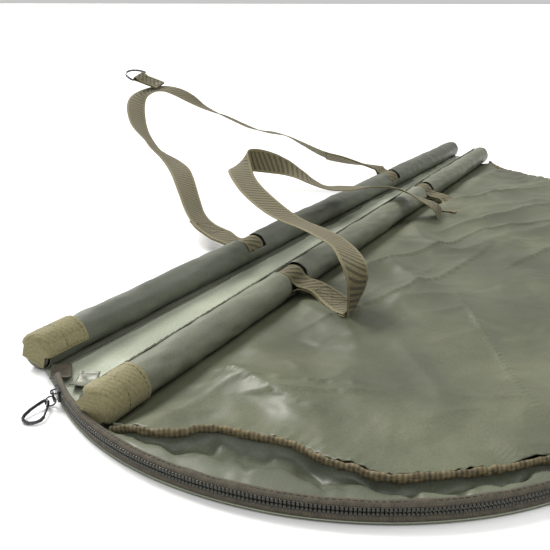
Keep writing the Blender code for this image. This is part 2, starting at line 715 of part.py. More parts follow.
def tab_middle(side, table):
    """Return the stations between the two layers of a near tab."""
    anchor = NEAR_ANCHOR_SHIFT + side * NEAR_ANCHOR_SPREAD / 2
    centres = [NEAR.point(anchor + x * TAB_REACH, -y * TAB_REACH, z * TAB_REACH) for x, y, z, across in table]
    widths = [Vector(across).normalized() for x, y, z, across in table]
    return stations(smooth(centres), smooth(widths))


def near_tab(name, side, table):
    """Make one doubled tab: webbing looped round the near pole and laid on itself."""
    middle = tab_middle(side, table)
    if side < 0:
        middle = mitre(middle, Vector(NEAR_FOLD_DIRECTION))
    loop = wrap(NEAR, NEAR_ANCHOR_SHIFT + side * NEAR_ANCHOR_SPREAD / 2, NEAR_EXIT_DEGREES)
    strap(name, layer(middle, LAYER, True) + stations(loop, [NEAR.along] * len(loop))
          + layer(middle, -LAYER))


def build_poles():
    """Poles, plugs, sleeves and what is sewn on the sleeves."""
    far_anchors = (-FAR_ANCHOR_SPREAD / 2, FAR_ANCHOR_SPREAD / 2)
    near_anchors = (NEAR_ANCHOR_SHIFT - NEAR_ANCHOR_SPREAD / 2, NEAR_ANCHOR_SHIFT + NEAR_ANCHOR_SPREAD / 2)
    for label, pole in (("far", FAR), ("near", NEAR)):
        pole_tube(label + "_pole", pole)
        end_plug(label + "_plug_left", pole, -1)
        end_plug(label + "_plug_right", pole, 1)
    sleeve("far_sleeve", FAR, far_anchors, -30.0, 172.0)
    sleeve("near_sleeve", NEAR, near_anchors, 62.0, 215.0)
    end_tab("far_end_tab", FAR, 30.0, 178.0)
    end_tab("near_end_tab", NEAR, 64.0, 205.0)
    sleeve_band("near_seam_band", NEAR, SEAM_BAND, 30.0, 30.0 + SEAM_BAND_DEGREES, GAP, "cloth")
    half = POLE_LENGTH / 2
    front = -SEAM_FLANGE_SETBACK
    back = front - SEAM_FLANGE_WIDTH
    strip = [FAR.point(x, y) for x, y in ((-half, front), (half, front), (half, back), (-half, back))]
    flat_piece("far_seam_flange", [(p.x, p.y) for p in strip], CLOTH + GAP, 2 * CLOTH + GAP, "cloth")


def body_place(x, y):
    """Return a plan point from shares of the body's half width and depth."""
    return (x * BODY_HALF, -NEAR_POLE_SETBACK - y * BODY_DEPTH)


def row_place(share):
    """Return the y of an upper panel row: a share of the depth, or of the tuck under the near pole."""
    return -NEAR_POLE_SETBACK - share * (BODY_DEPTH if share > 0 else PANEL_TUCK)


def binding_path():
    """Return the left binding's centre line, from the mouth to the bottom."""
    path = []
    for down, inset, z in LEFT_BINDING_SHARES:
        y = -NEAR_POLE_SETBACK - BINDING_DROP - down * (BODY_DEPTH - BINDING_DROP)
        x = ZIP_ARC_X - math.sqrt(ZIP_ARC_RADIUS ** 2 - (y - ZIP_ARC_Y) ** 2) + inset * BINDING_INSET
        path.append(Vector((x, y, z * BINDING_HEIGHT)))
    for degrees, inset, z in LEFT_BINDING_ARC_SHARES:
        place = arc_point(degrees, ZIP_ARC_RADIUS - inset * BINDING_INSET)
        path.append(Vector((*place, z * BINDING_HEIGHT)))
    return path


def beside(path, distance):
    """Shift a plan path sideways; a positive distance is towards the zip's arc centre."""
    moved = []
    count = len(path)
    for k in range(count):
        run = path[min(k + 1, count - 1)] - path[max(k - 1, 0)]
        run.z = 0
        run.normalize()
        moved.append(path[k] + Vector((-run.y, run.x, 0)) * distance)
    return moved


def build_cloth():
    """Panels, gussets, bindings and seams of the body."""
    half = POLE_LENGTH / 2
    back = [FAR.point(x, -PANEL_SETBACK) for x in (-half, half)]
    right = [body_place(x, y) for x, y in RIGHT_OUTLINE_SHARES]
    corner = [(ZIP_TOP_X + ZIP_CORNER_IN, ZIP_TOP_Y + ZIP_CORNER_UP)]
    rim = arc_range(ZIP_TOP_DEGREES, ZIP_BOTTOM_DEGREES + 4.0, ZIP_ARC_RADIUS + TAPE_THICKNESS / 2)
    outline = [(back[0].x, back[0].y)] + corner + rim + list(reversed(right)) + [(back[1].x, back[1].y)]
    flat_piece("lower_panel", outline, 0.0, CLOTH, "cloth")

    clear = BINDING_RADIUS + 3 * GAP
    left_path = smooth(binding_path(), 2)
    wire("left_binding", left_path, BINDING_RADIUS, "cloth")
    right_path = [Vector((*body_place(x, y), RIGHT_EDGE_HEIGHT)) for x, y in RIGHT_BINDING_SHARES]
    wire("right_binding", right_path, BINDING_RADIUS, "cloth")
    seam_start = Vector((BOTTOM_SEAM_START, BOTTOM_SEAM_Y, BOTTOM_SEAM_HEIGHT))
    seam_end = Vector((BOTTOM_SEAM_END, BOTTOM_SEAM_Y, BOTTOM_SEAM_HEIGHT))
    wire("bottom_seam", [seam_start, seam_end], BINDING_RADIUS, "cloth")

    bottom = BOTTOM_SEAM_Y + clear
    wide = clear + PANEL_CLEARANCE
    top = row_place(PANEL_ROW_SHARES[0][0])
    left_side = [Vector((-PANEL_HALF_TOP, top, 0)), Vector((-PANEL_HALF_TOP, left_path[0].y + RIGHT_MARGIN, 0))]
    left_side += beside(left_path, wide)
    left_side.append(Vector((BOTTOM_SEAM_START + GAP, bottom, BOTTOM_SEAM_HEIGHT)))
    right_side = [Vector((PANEL_HALF_TOP, top, 0)), Vector((PANEL_HALF_TOP, right_path[0].y + RIGHT_MARGIN, 0))]
    right_side += beside(right_path, -wide)
    right_side.append(Vector((BOTTOM_SEAM_END - GAP, bottom, BOTTOM_SEAM_HEIGHT)))
    left_x = [(p.y, p.x) for p in left_side]
    right_x = [(p.y, p.x) for p in right_side]
    left_z = [(p.y, p.z) for p in left_path]
    rows = []
    for depth, loft in PANEL_ROW_SHARES:
        y = max(row_place(depth), bottom)
        start, end = level_at(left_x, y), level_at(right_x, y)
        row = []
        for k in range(PANEL_COLUMNS + 1):
            share = k / PANEL_COLUMNS
            x = start + (end - start) * share
            height = loft * CLOTH_LOFT
            left_weight = max(0.0, 1 - (x - start) / EDGE_BLEND) ** 2
            right_weight = max(0.0, 1 - (end - x) / EDGE_BLEND) ** 2
            if y < left_path[0].y:
                height += (level_at(left_z, y) - height) * left_weight
            if y < right_path[0].y:
                height += (RIGHT_EDGE_HEIGHT - height) * right_weight
            row.append((x, y, height))
        rows.append(row)
    sheet("upper_panel", rows, CLOTH, "cloth")

    inner = beside(left_path, -clear)
    rows = []
    for k in range(len(inner)):
        share = k / (len(inner) - 1)
        degrees = GUSSET_TOP_DEGREES + (GUSSET_BOTTOM_DEGREES - GUSSET_TOP_DEGREES) * share
        outer = Vector((*arc_point(degrees, ZIP_ARC_RADIUS - GUSSET_CLEARANCE), GUSSET_RIM_HEIGHT))
        slack = min(1.0, (outer - inner[k]).length / BINDING_INSET) ** 2
        row = []
        for across, dip in GUSSET_DIP_SHARES:
            point = outer.lerp(inner[k], across)
            point.z -= dip * slack * GUSSET_DIP
            row.append(point)
        rows.append(row)
    sheet("left_gusset", rows, CLOTH, "cloth")

    low, high = CLOTH + GAP, RIGHT_EDGE_HEIGHT - BINDING_RADIUS - GAP
    foot = [Vector((p.x, p.y, low)) for p in right_path]
    head = [Vector((p.x, p.y, high)) for p in right_path]
    sheet("right_gusset", [foot, head], CLOTH, "cloth")

    rows = []
    start, end = -LINING_HALF_LENGTH, LINING_HALF_LENGTH
    for k in range(LINING_STEPS + 1):
        x = start + (end - start) * k / LINING_STEPS
        rows.append([NEAR.point(x, across * LINING_REACH, up * LINING_REACH)
                     for across, up in LINING_SHARES])
    sheet("near_lining_flap", rows, CLOTH, "lining")


def build_zip():
    """Tapes, tooth rows, bottom stop and end tabs of the zip."""
    half = TAPE_THICKNESS / 2
    tooth = TOOTH_ROW_THICKNESS / 2
    low_row = ZIP_HEIGHT - TOOTH_SLIT / 2 - TOOTH_ROW_HEIGHT
    high_row = ZIP_HEIGHT + TOOTH_SLIT / 2
    top, bottom = ZIP_TOP_DEGREES, ZIP_BOTTOM_DEGREES
    arc_band("zip_tape_lower", top, bottom, ZIP_ARC_RADIUS - half, ZIP_ARC_RADIUS + half,
             CLOTH + GAP, low_row - GAP, "webbing")
    arc_band("zip_teeth_lower", top, bottom, ZIP_ARC_RADIUS - tooth, ZIP_ARC_RADIUS + tooth,
             low_row, low_row + TOOTH_ROW_HEIGHT, "zip_nylon")
    arc_band("zip_teeth_upper", top, bottom, ZIP_ARC_RADIUS - tooth, ZIP_ARC_RADIUS + tooth,
             high_row, high_row + TOOTH_ROW_HEIGHT, "zip_nylon")
    arc_band("zip_tape_upper", top, bottom, ZIP_ARC_RADIUS - half, ZIP_ARC_RADIUS + half,
             high_row + TOOTH_ROW_HEIGHT + GAP, TAPE_TOP, "webbing")
    spare = math.degrees(GAP / ZIP_ARC_RADIUS)
    stop = math.degrees(BOTTOM_STOP_LENGTH / ZIP_ARC_RADIUS)
    arc_band("zip_bottom_stop", bottom + spare, bottom + stop, ZIP_ARC_RADIUS - tooth,
             ZIP_ARC_RADIUS + tooth, CLOTH + GAP, high_row + TOOTH_ROW_HEIGHT, "dark_metal")
    for name, centre_x, centre_y, turn in END_TAB_PLACES:
        angle = math.radians(turn)
        along = Vector((math.cos(angle), math.sin(angle)))
        across = Vector((-along.y, along.x))
        centre = Vector((centre_x, centre_y))
        outline = []
        for u, v in ((-1, -1), (1, -1), (1, 1), (-1, 1)):
            point = centre + along * u * ZIP_TAB_LENGTH / 2 + across * v * ZIP_TAB_WIDTH / 2
            outline.append((point.x, point.y))
        flat_piece(name, outline, CLOTH + GAP, 2 * CLOTH + GAP, "cloth")


def slider_point(out, along, up):
    """Return a world point in the slider's own directions; along is towards the mouth."""
    angle = math.radians(SLIDER_DEGREES)
    x, y = arc_point(SLIDER_DEGREES, ZIP_ARC_RADIUS + out)
    return Vector((x + math.sin(angle) * along, y - math.cos(angle) * along, ZIP_HEIGHT + up))


def slider_block(name, profile, start, end, home, finish):
    """Extrude a profile of (out, up) points along the slider."""
    shape = bmesh.new()
    face = shape.faces.new([shape.verts.new(slider_point(out, start, up)) for out, up in profile])
    grown = bmesh.ops.extrude_face_region(shape, geom=[face])["geom"]
    moved = [item for item in grown if isinstance(item, bmesh.types.BMVert)]
    shift = slider_point(0, end, 0) - slider_point(0, start, 0)
    bmesh.ops.translate(shape, verts=moved, vec=shift)
    return mesh_part(name, shape, finish, home)


def build_slider():
    """Slider with its bail, the pull, the ring and the snap clip."""
    inner = TOOTH_ROW_THICKNESS / 2 + SLIDER_CLEARANCE
    outer = inner + SLIDER_PLATE
    lip = TAPE_THICKNESS / 2 + GAP
    top = SLIDER_HALF_HEIGHT
    shelf = top - SLIDER_LIP
    half = SLIDER_LENGTH / 2
    plate = [(lip, top), (outer, top), (outer, -top), (lip, -top), (lip, -shelf), (inner, -shelf),
             (inner, shelf), (lip, shelf)]
    body = slider_block("zip_slider", plate, -half, half, parts, "dark_metal")
    twin = slider_block("slider_inner_plate", [(-out, up) for out, up in plate], -half, half, cutters,
                        "dark_metal")
    mid = inner + SLIDER_PLATE / 2
    web = [(-mid, POST_WIDTH / 2), (mid, POST_WIDTH / 2), (mid, -POST_WIDTH / 2), (-mid, -POST_WIDTH / 2)]
    post = slider_block("slider_post", web, half - POST_INSET - POST_LENGTH, half - POST_INSET, cutters,
                        "dark_metal")
    combine(body, post, "UNION")
    combine(body, twin, "UNION")
    arch = [slider_point(outer + out * BAIL_REACH, 0, BAIL_MIDDLE + up * BAIL_REACH)
            for out, up in BAIL_SHARES]
    bail = wire("slider_bail", arch, BAIL_RADIUS, "dark_metal")
    bail_mesh = bpy.data.meshes.new_from_object(bail)
    bpy.data.objects.remove(bail, do_unlink=True)
    shape = bmesh.new()
    shape.from_mesh(bail_mesh)
    bmesh.ops.remove_doubles(shape, verts=shape.verts, dist=MERGE)
    bail = mesh_part("slider_bail_wire", shape, None, cutters)
    bail.data.materials.append(material("dark_metal"))
    combine(body, bail, "UNION")

    pull_out = outer + BAIL_HOLE_SHARE * BAIL_REACH
    pull_top, pull_foot = BAIL_MIDDLE, BAIL_MIDDLE - PULL_LENGTH
    corner = PULL_WIRE_RADIUS
    side = PULL_HALF_WIDTH
    loop = [(side - corner, pull_top), (side, pull_top - corner), (side, pull_foot + corner),
            (side - corner, pull_foot)]
    loop += [(-along, up) for along, up in reversed(loop)]
    wire("zip_pull", [slider_point(pull_out, along, up) for along, up in loop], PULL_WIRE_RADIUS,
         "dark_metal", True)

    ring_out = pull_out + RING_HANG
    points = []
    for k in range(RING_STEPS):
        angle = 2 * math.pi * k / RING_STEPS
        points.append(slider_point(ring_out + RING_RADIUS * math.cos(angle), 0,
                                   pull_foot + RING_RADIUS * math.sin(angle)))
    wire("pull_ring", points, RING_WIRE_RADIUS, "dark_metal", True)

    crossing = slider_point(ring_out + CLIP_HANG, 0, pull_foot)
    heading = math.radians(CLIP_HEADING_DEGREES)
    level = Vector((math.cos(heading), math.sin(heading), 0))
    drop = crossing.z - CLIP_WIRE_RADIUS - GAP
    tilt = math.asin(drop / CLIP_LENGTH)
    out = level * math.cos(tilt) - Vector((0, 0, math.sin(tilt)))
    side_way = Vector((-level.y, level.x, 0))
    outward = slider_point(1, 0, 0) - slider_point(0, 0, 0)
    bend = math.atan2(-outward.dot(side_way), outward.dot(out))
    start = crossing - out * (CLIP_TOP_RADIUS * (1 - math.cos(bend))) - side_way * (
        CLIP_TOP_RADIUS * math.sin(bend))

    def clip_point(u, v):
        return start + out * u + side_way * v

    body_points = []
    for k in range(CLIP_TURN_STEPS + 1):
        angle = math.pi / 2 - math.pi * k / CLIP_TURN_STEPS
        body_points.append((CLIP_TOP_RADIUS - CLIP_TOP_RADIUS * math.cos(angle),
                            CLIP_TOP_RADIUS * math.sin(angle)))
    gate_foot = level_at(CLIP_SIDE_SHARES, CLIP_GATE_START) * CLIP_WIDTH
    gate_head = level_at(CLIP_SIDE_SHARES, CLIP_GATE_END) * CLIP_WIDTH
    body_points.insert(0, (CLIP_GATE_START * CLIP_LENGTH, gate_foot))
    for share, side_share in CLIP_SIDE_SHARES[1:]:
        body_points.append((share * CLIP_LENGTH, -side_share * CLIP_WIDTH))
    centre_u = CLIP_LENGTH - CLIP_WIDTH / 2 + CLIP_WIRE_RADIUS
    big = CLIP_WIDTH / 2 - CLIP_WIRE_RADIUS
    for k in range(1, CLIP_TURN_STEPS):
        angle = -math.pi / 2 + math.pi * k / CLIP_TURN_STEPS
        body_points.append((centre_u + big * math.cos(angle), big * math.sin(angle)))
    body_points.append((CLIP_GATE_END * CLIP_LENGTH, gate_head))
    wire("clip_body", [clip_point(u, v) for u, v in body_points], CLIP_WIRE_RADIUS, "dark_metal")
    first = clip_point(*body_points[0])
    last = clip_point(*body_points[-1])
    way = (last - first).normalized()
    wire("clip_gate", [first + way * 2 * GAP, last - way * 2 * GAP], CLIP_GATE_RADIUS, "dark_metal")


def build_handles():
    """Both handles, the near handle's doubled tabs and the D-ring."""
    far_handle()
    near_handle()
    near_tab("near_tab_left", -1, NEAR_LEFT_TAB_SHARES)
    near_tab("near_tab_right", 1, NEAR_RIGHT_TAB_SHARES)

    centres, widths = route(FAR, 0.0, FAR_ANCHOR_SPREAD, FAR_REACH, FAR_RISE, FAR_ROUTE_SHARES)
    apex, across, normal = stations(centres, widths)[D_RING_STATION * ROUTE_STEPS]
    if normal.z < 0:
        normal = -normal
    beyond = across.cross(normal)
    if beyond.y < 0:
        beyond = -beyond
    hold = D_RING_WIRE_RADIUS + GAP + WEBBING / 2
    bar = apex + beyond * D_RING_OFFSET + normal * (2 * LAYER + hold - D_RING_DROP)
    points = []
    for k in range(D_RING_STEPS + 1):
        angle = math.pi * k / D_RING_STEPS
        points.append(bar + across * (D_RING_HALF_WIDTH * math.cos(angle))
                      + beyond * (D_RING_BOW * math.sin(angle)))
    wire("d_ring", points, D_RING_WIRE_RADIUS, "dark_metal", True)
    leg = D_RING_TAB_LENGTH
    path = [bar - beyond * leg * share - normal * (hold - 2 * LAYER) for share in (1.0, 0.5)]
    for k in range(D_RING_STEPS + 1):
        angle = math.pi / 2 - math.pi * k / D_RING_STEPS
        path.append(bar + beyond * (hold * math.cos(angle)) + normal * (hold * math.sin(angle)))
    path += [bar - beyond * leg * share - normal * hold for share in (0.5, 1.0)]
    strap("d_ring_tab", stations(path, [across] * len(path)))


clear_scene()
build_poles()
build_cloth()
build_zip()
build_slider()
build_handles()
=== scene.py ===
"""Looks of the weigh sling: cloth, webbing, zip and hardware, in metres and in the CAD model's frame."""

import math

import bpy
import numpy as np
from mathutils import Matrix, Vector


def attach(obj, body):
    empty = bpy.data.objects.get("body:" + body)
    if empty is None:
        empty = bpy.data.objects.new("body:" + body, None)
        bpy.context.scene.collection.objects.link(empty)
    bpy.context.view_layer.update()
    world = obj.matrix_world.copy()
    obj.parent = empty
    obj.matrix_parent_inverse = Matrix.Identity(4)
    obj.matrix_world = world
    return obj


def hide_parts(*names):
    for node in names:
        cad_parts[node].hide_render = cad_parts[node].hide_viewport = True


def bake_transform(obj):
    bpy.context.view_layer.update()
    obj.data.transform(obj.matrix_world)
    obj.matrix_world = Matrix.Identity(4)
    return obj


bl_info = {
    "name": "Weigh Sling",
    "version": (1, 0, 0),
    "blender": (4, 5, 0),
    "location": "3D View > Sidebar > Weigh Sling",
    "description": "Dresses the weigh sling's frame with cloth, webbing, stitching and finishes",
    "category": "Object",
}

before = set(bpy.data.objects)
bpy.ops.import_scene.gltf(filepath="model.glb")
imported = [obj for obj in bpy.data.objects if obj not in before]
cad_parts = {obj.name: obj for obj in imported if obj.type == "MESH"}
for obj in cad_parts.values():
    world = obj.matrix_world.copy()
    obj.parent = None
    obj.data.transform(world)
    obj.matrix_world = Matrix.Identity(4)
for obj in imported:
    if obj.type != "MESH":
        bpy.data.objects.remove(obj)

UP = Vector((0, 0, 1))

# Poles: middle and turn in degrees; the near one runs along X, the far one is turned a little
POLE_HALF = 0.550
SLEEVE_RADIUS = 0.0153
NEAR_POLE = (0.0015, -0.0470, 0.0183, 0.0)
FAR_POLE = (0.0562, 0.0427, 0.0153, -1.97)
FAR_SPREAD = 0.434
NEAR_SPREAD = 0.440
NEAR_SHIFT = -0.0265
CUT_HALF = 0.019
END_TAB_LENGTH = 0.044
PLUG_END = 0.0016

# Zip's arc round the left corner, and the heights of its upper and lower teeth
ARC_X, ARC_Y, ARC_RADIUS = -0.3241, -0.1503, 0.2574
ZIP_TOP, ZIP_BOTTOM = 138.0, 264.0
LOWER_TEETH, UPPER_TEETH, TOOTH_PITCH = (0.0072, 0.0098), (0.0102, 0.0128), 0.0026

# Body of the sling
BODY_HALF, BODY_DEPTH, BODY_TOP = 0.550, 0.360, -0.047
SEAM_Y, SEAM_Z, SEAM_START, SEAM_END = -0.401, 0.0045, -0.335, 0.232
PANEL_SKIN, THIN_SKIN, TAPE_SKIN = 0.0008, 0.0007, 0.0006

# Webbing, its place in a doubled layer, and its loop round a pole
WEBBING_WIDTH = 0.030
WEBBING = 0.0016
LAYER = 0.00095
WRAP_RADIUS = 0.0129
DOUBLED = 0.050
STITCH_LIFT = WEBBING / 2 + 0.0002
STITCH_INSET = 0.005
# Half of its section: share of the half width and of the half thickness, full at the selvedge
STRAP_SIDE = [(-1.0, 0.0), (-0.985, 0.65), (-0.93, 1.0), (-0.80, 0.92), (-0.4, 0.82), (0.0, 0.80),
              (0.4, 0.82), (0.80, 0.92), (0.93, 1.0), (0.985, 0.65), (1.0, 0.0)]

# Points between two given ones on a smooth line, sides of a tape and of a thread, cells of the noise
STEPS, TUBE_SIDES, THREAD_SIDES, CELLS = 8, 12, 5, 97

# Camera from the photo, and half the floor's width
CAMERA, CAMERA_WAY = (-0.9232, -0.3904, 0.2917), (0.83107, 0.44673, -0.33128)
LENS, SHIFT_X, FLOOR_HALF = 50.98, 0.0091, 90.0

# Shares of a handle's spread, reach and rise, then the direction of the webbing's width
FAR_ROUTE = [
    (-0.465, 0.118, 0.048, (0.93, -0.35, 0.10)), (-0.424, 0.208, 0.069, (0.88, -0.45, -0.10)),
    (-0.374, 0.284, 0.126, (0.78, -0.52, -0.30)), (-0.305, 0.362, 0.219, (0.75, -0.60, -0.25)),
    (-0.205, 0.473, 0.348, (0.72, -0.68, 0.00)), (-0.136, 0.571, 0.405, (0.80, -0.53, -0.20)),
    (-0.095, 0.663, 0.462, (0.80, -0.38, -0.42)), (-0.065, 0.721, 0.512, (0.75, -0.33, -0.55)),
    (-0.006, 0.819, 0.605, (0.76, -0.48, -0.42)), (0.063, 0.899, 0.684, (0.70, -0.64, -0.28)),
    (0.142, 0.974, 0.800, (0.45, -0.88, -0.15)), (0.200, 1.004, 0.890, (0.15, -0.98, -0.05)),
    (0.256, 0.992, 0.950, (-0.40, -0.86, -0.10)), (0.293, 0.950, 0.965, (-0.80, -0.52, -0.20)),
    (0.312, 0.896, 0.930, (-0.95, -0.20, -0.26)), (0.319, 0.838, 0.862, (-0.97, -0.10, -0.20)),
    (0.328, 0.778, 0.769, (-0.97, -0.20, 0.05)), (0.339, 0.714, 0.698, (-0.95, -0.22, 0.22)),
    (0.348, 0.659, 0.648, (-0.90, -0.28, 0.33)), (0.359, 0.584, 0.569, (-0.90, -0.25, 0.35)),
    (0.373, 0.522, 0.519, (-0.95, -0.22, 0.20)), (0.388, 0.476, 0.498, (-0.96, -0.25, 0.10)),
    (0.404, 0.414, 0.462, (-0.93, -0.28, 0.22)), (0.410, 0.354, 0.398, (-0.88, -0.30, 0.35)),
    (0.430, 0.254, 0.276, (-0.80, -0.33, 0.48)), (0.453, 0.178, 0.226, (-0.80, -0.33, 0.45)),
    (0.471, 0.118, 0.191, (-0.90, -0.20, 0.30)),
]
NEAR_ROUTE = [
    (-0.586, -0.5475, -0.0375, (1.00, 0.076, 0.00)), (-0.587, -0.558, 0.045, (1.00, 0.03, 0.00)),
    (-0.592, -0.574, 0.150, (0.98, -0.10, 0.00)), (-0.600, -0.590, 0.285, (0.96, -0.22, 0.00)),
    (-0.606, -0.594, 0.434, (0.92, -0.34, -0.05)), (-0.5955, -0.556, 0.571, (0.85, -0.48, -0.15)),
    (-0.552, -0.450, 0.646, (0.80, -0.55, -0.25)), (-0.489, -0.269, 0.652, (0.75, -0.65, -0.15)),
    (-0.423, -0.063, 0.621, (0.75, -0.65, -0.12)), (-0.375, 0.125, 0.596, (0.74, -0.66, -0.10)),
    (-0.339, 0.287, 0.621, (0.74, -0.67, -0.05)), (-0.302, 0.456, 0.690, (0.72, -0.69, 0.00)),
    (-0.257, 0.638, 0.784, (0.70, -0.71, 0.00)), (-0.200, 0.806, 0.871, (0.64, -0.76, 0.00)),
    (-0.143, 0.931, 0.946, (0.55, -0.80, 0.25)), (-0.093, 0.994, 0.996, (0.35, -0.55, 0.76)),
    (-0.041, 0.975, 0.971, (0.15, -0.10, 0.98)), (0.005, 0.906, 0.909, (0.30, 0.25, 0.92)),
    (0.030, 0.806, 0.834, (0.62, 0.42, 0.65)), (0.039, 0.681, 0.734, (0.88, 0.30, 0.25)),
    (0.043, 0.556, 0.621, (0.95, 0.28, 0.00)), (0.066, 0.456, 0.521, (0.80, 0.60, 0.00)),
    (0.116, 0.406, 0.446, (0.45, 0.88, 0.00)), (0.175, 0.381, 0.396, (0.40, 0.90, 0.00)),
    (0.230, 0.325, 0.359, (0.70, 0.70, -0.15)), (0.264, 0.200, 0.350, (0.90, 0.30, -0.25)),
    (0.273, 0.044, 0.350, (0.90, 0.10, -0.28)), (0.262, -0.106, 0.300, (0.87, -0.10, -0.35)),
    (0.262, -0.225, 0.210, (0.92, -0.20, -0.25)), (0.270, -0.300, 0.140, (0.98, -0.10, -0.12)),
    (0.276, -0.345, 0.070, (1.00, 0.00, -0.05)), (0.280, -0.366, -0.035, (1.00, 0.077, 0.00)),
]
# The near handle's tabs, in shares of their reach
LEFT_TAB = [
    (0.000, 0.345, -0.008, (1.00, 0.00, 0.00)), (-0.015, 0.450, -0.035, (1.00, -0.03, 0.00)),
    (-0.085, 0.600, -0.070, (0.96, -0.25, 0.00)), (-0.215, 0.760, -0.079, (0.90, -0.43, 0.00)),
    (-0.345, 0.900, -0.062, (0.85, -0.52, 0.00)), (-0.440, 1.000, -0.035, (0.85, -0.52, 0.00)),
]
RIGHT_TAB = [
    (0.000, 0.345, -0.008, (1.00, 0.00, 0.00)), (-0.012, 0.450, -0.035, (1.00, -0.10, 0.00)),
    (-0.090, 0.575, -0.060, (0.80, -0.60, 0.00)), (-0.270, 0.660, -0.067, (0.42, -0.90, 0.00)),
    (-0.550, 0.695, -0.067, (0.13, -0.99, 0.00)), (-0.730, 0.692, -0.055, (0.00, -1.00, 0.00)),
    (-0.895, 0.680, -0.033, (0.00, -1.00, 0.00)),
]
FAR_SIZE = (0.0, FAR_SPREAD, 0.400, 0.140)
NEAR_SIZE = (NEAR_SHIFT, NEAR_SPREAD, 0.160, 0.080)
TAB_REACH = 0.086
MITRE_REACH = 0.030
FOLD_LINE = (0.99708, 0.0764, 0.0)

# Outlines: shares of the body's half width and depth, then of the binding's height. The arc's rows begin
# with degrees and a share of the inset, and the loft's rows hold shares of the depth and of the loft.
RIGHT_OUTLINE = [
    (1.011, -0.019), (1.000, 0.031), (0.936, 0.092), (0.882, 0.161), (0.827, 0.286),
    (0.782, 0.425), (0.736, 0.592), (0.655, 0.786), (0.527, 0.939), (0.400, 1.000),
]
RIGHT_BINDING = [
    (0.984, 0.061), (0.924, 0.108), (0.869, 0.175), (0.816, 0.292), (0.771, 0.428),
    (0.725, 0.589), (0.645, 0.775), (0.527, 0.917), (0.442, 0.964),
]
LEFT_BINDING = [
    (-1.011, 0.056, 0.61), (-1.007, 0.100, 0.88), (-1.007, 0.147, 1.00), (-0.995, 0.189, 1.00),
    (-0.975, 0.220, 1.00), (-0.962, 0.245, 1.00), (-0.958, 0.300, 1.00), (-0.956, 0.335, 1.00),
    (-0.951, 0.375, 1.00), (-0.953, 0.417, 1.00), (-0.964, 0.483, 1.00), (-0.963, 0.530, 1.00),
]
LEFT_BINDING_ARC = [
    (208.0, 1.00, 1.00), (216.0, 1.00, 1.00), (225.0, 0.98, 0.97), (234.0, 0.94, 0.91),
    (242.0, 0.86, 0.80), (248.0, 0.78, 0.74), (253.0, 0.66, 0.66), (257.0, 0.54, 0.58),
]
PANEL_LOFT = [
    (-0.0556, 0.20), (-0.0194, 0.20), (0.0139, 0.20), (0.0361, 0.46), (0.0514, 0.58),
    (0.0694, 0.66), (0.0972, 0.70), (0.1333, 0.70), (0.1806, 0.70), (0.2306, 0.71),
    (0.3000, 0.81), (0.3694, 0.90), (0.4528, 0.97), (0.5361, 1.00), (0.6194, 1.00),
    (0.7028, 0.98), (0.7861, 0.90), (0.8472, 0.80), (0.8972, 0.71), (0.9361, 0.60),
    (0.9611, 0.50), (0.9735, 0.43),
]
BINDING_HEIGHT, BINDING_INSET, CLOTH_LOFT = 0.0165, 0.0245, 0.0105
RIGHT_EDGE_HEIGHT = 0.0090

# Creases in the upper cloth: plan points, then height and width
CREASES = [
    ([(-0.437, -0.068), (-0.451, -0.103), (-0.465, -0.136), (-0.474, -0.174), (-0.474, -0.197)],
     0.0032, 0.011),
    ([(-0.402, -0.125), (-0.421, -0.148)], 0.0020, 0.010),
    ([(-0.459, -0.114), (-0.441, -0.157), (-0.422, -0.207)], 0.0026, 0.011),
    ([(-0.479, -0.126), (-0.433, -0.212)], 0.0024, 0.012),
    ([(-0.175, -0.198), (-0.310, -0.275), (-0.404, -0.328)], 0.0026, 0.015),
    ([(0.038, -0.124), (0.108, -0.172), (0.210, -0.226)], 0.0036, 0.012),
    ([(-0.330, -0.110), (-0.180, -0.175), (-0.020, -0.205)], 0.0026, 0.016),
    ([(-0.260, -0.075), (-0.120, -0.115), (0.050, -0.180), (0.170, -0.290)], 0.0026, 0.018),
    ([(0.160, -0.080), (0.240, -0.130), (0.330, -0.200)], 0.0026, 0.014),
    ([(-0.090, -0.240), (0.060, -0.285), (0.170, -0.360)], 0.0026, 0.016),
]
# Short creases strewn over the upper cloth: how many, plan corners, greatest length, width
STREWN, STREWN_LOW, STREWN_HIGH = 190, (-0.52, -0.39), (0.44, -0.07)
STREWN_LENGTH, STREWN_WIDTH = 0.085, 0.0065


def linear(code):
    """Turn an sRGB hex colour into a linear one with alpha."""
    parts = [int(code[k:k + 2], 16) / 255 for k in (1, 3, 5)]
    return tuple(p / 12.92 if p <= 0.04045 else ((p + 0.055) / 1.055) ** 2.4 for p in parts) + (1.0,)


def fill(node, inputs):
    """Fill a node's inputs: a socket is linked, and any other value is set."""
    for name, value in inputs.items():
        if isinstance(value, bpy.types.NodeSocket):
            node.id_data.links.new(value, node.inputs[name])
        else:
            node.inputs[name].default_value = value


def add(tree, kind, inputs, output=0, **settings):
    """Add a node with its settings and inputs, and return one of its outputs."""
    node = tree.nodes.new("ShaderNode" + kind)
    for name, value in settings.items():
        setattr(node, name, value)
    fill(node, inputs)
    return node.outputs[output] if node.outputs else None


def start_finish(name, constants):
    """Make a material; return it with its tree and its shader."""
    made = bpy.data.materials.new(name)
    made.use_nodes = True
    tree = made.node_tree
    tree.nodes.clear()
    shader = add(tree, "BsdfPrincipled", constants)
    add(tree, "OutputMaterial", {"Surface": shader})
    return made, tree, shader.node


def ramp(tree, factor, *stops):
    """Return a colour between two stops of (position, hex colour)."""
    colour = add(tree, "ValToRGB", {"Fac": factor})
    for element, (position, code) in zip(colour.node.color_ramp.elements, stops):
        element.position = position
        element.color = linear(code)
    return colour


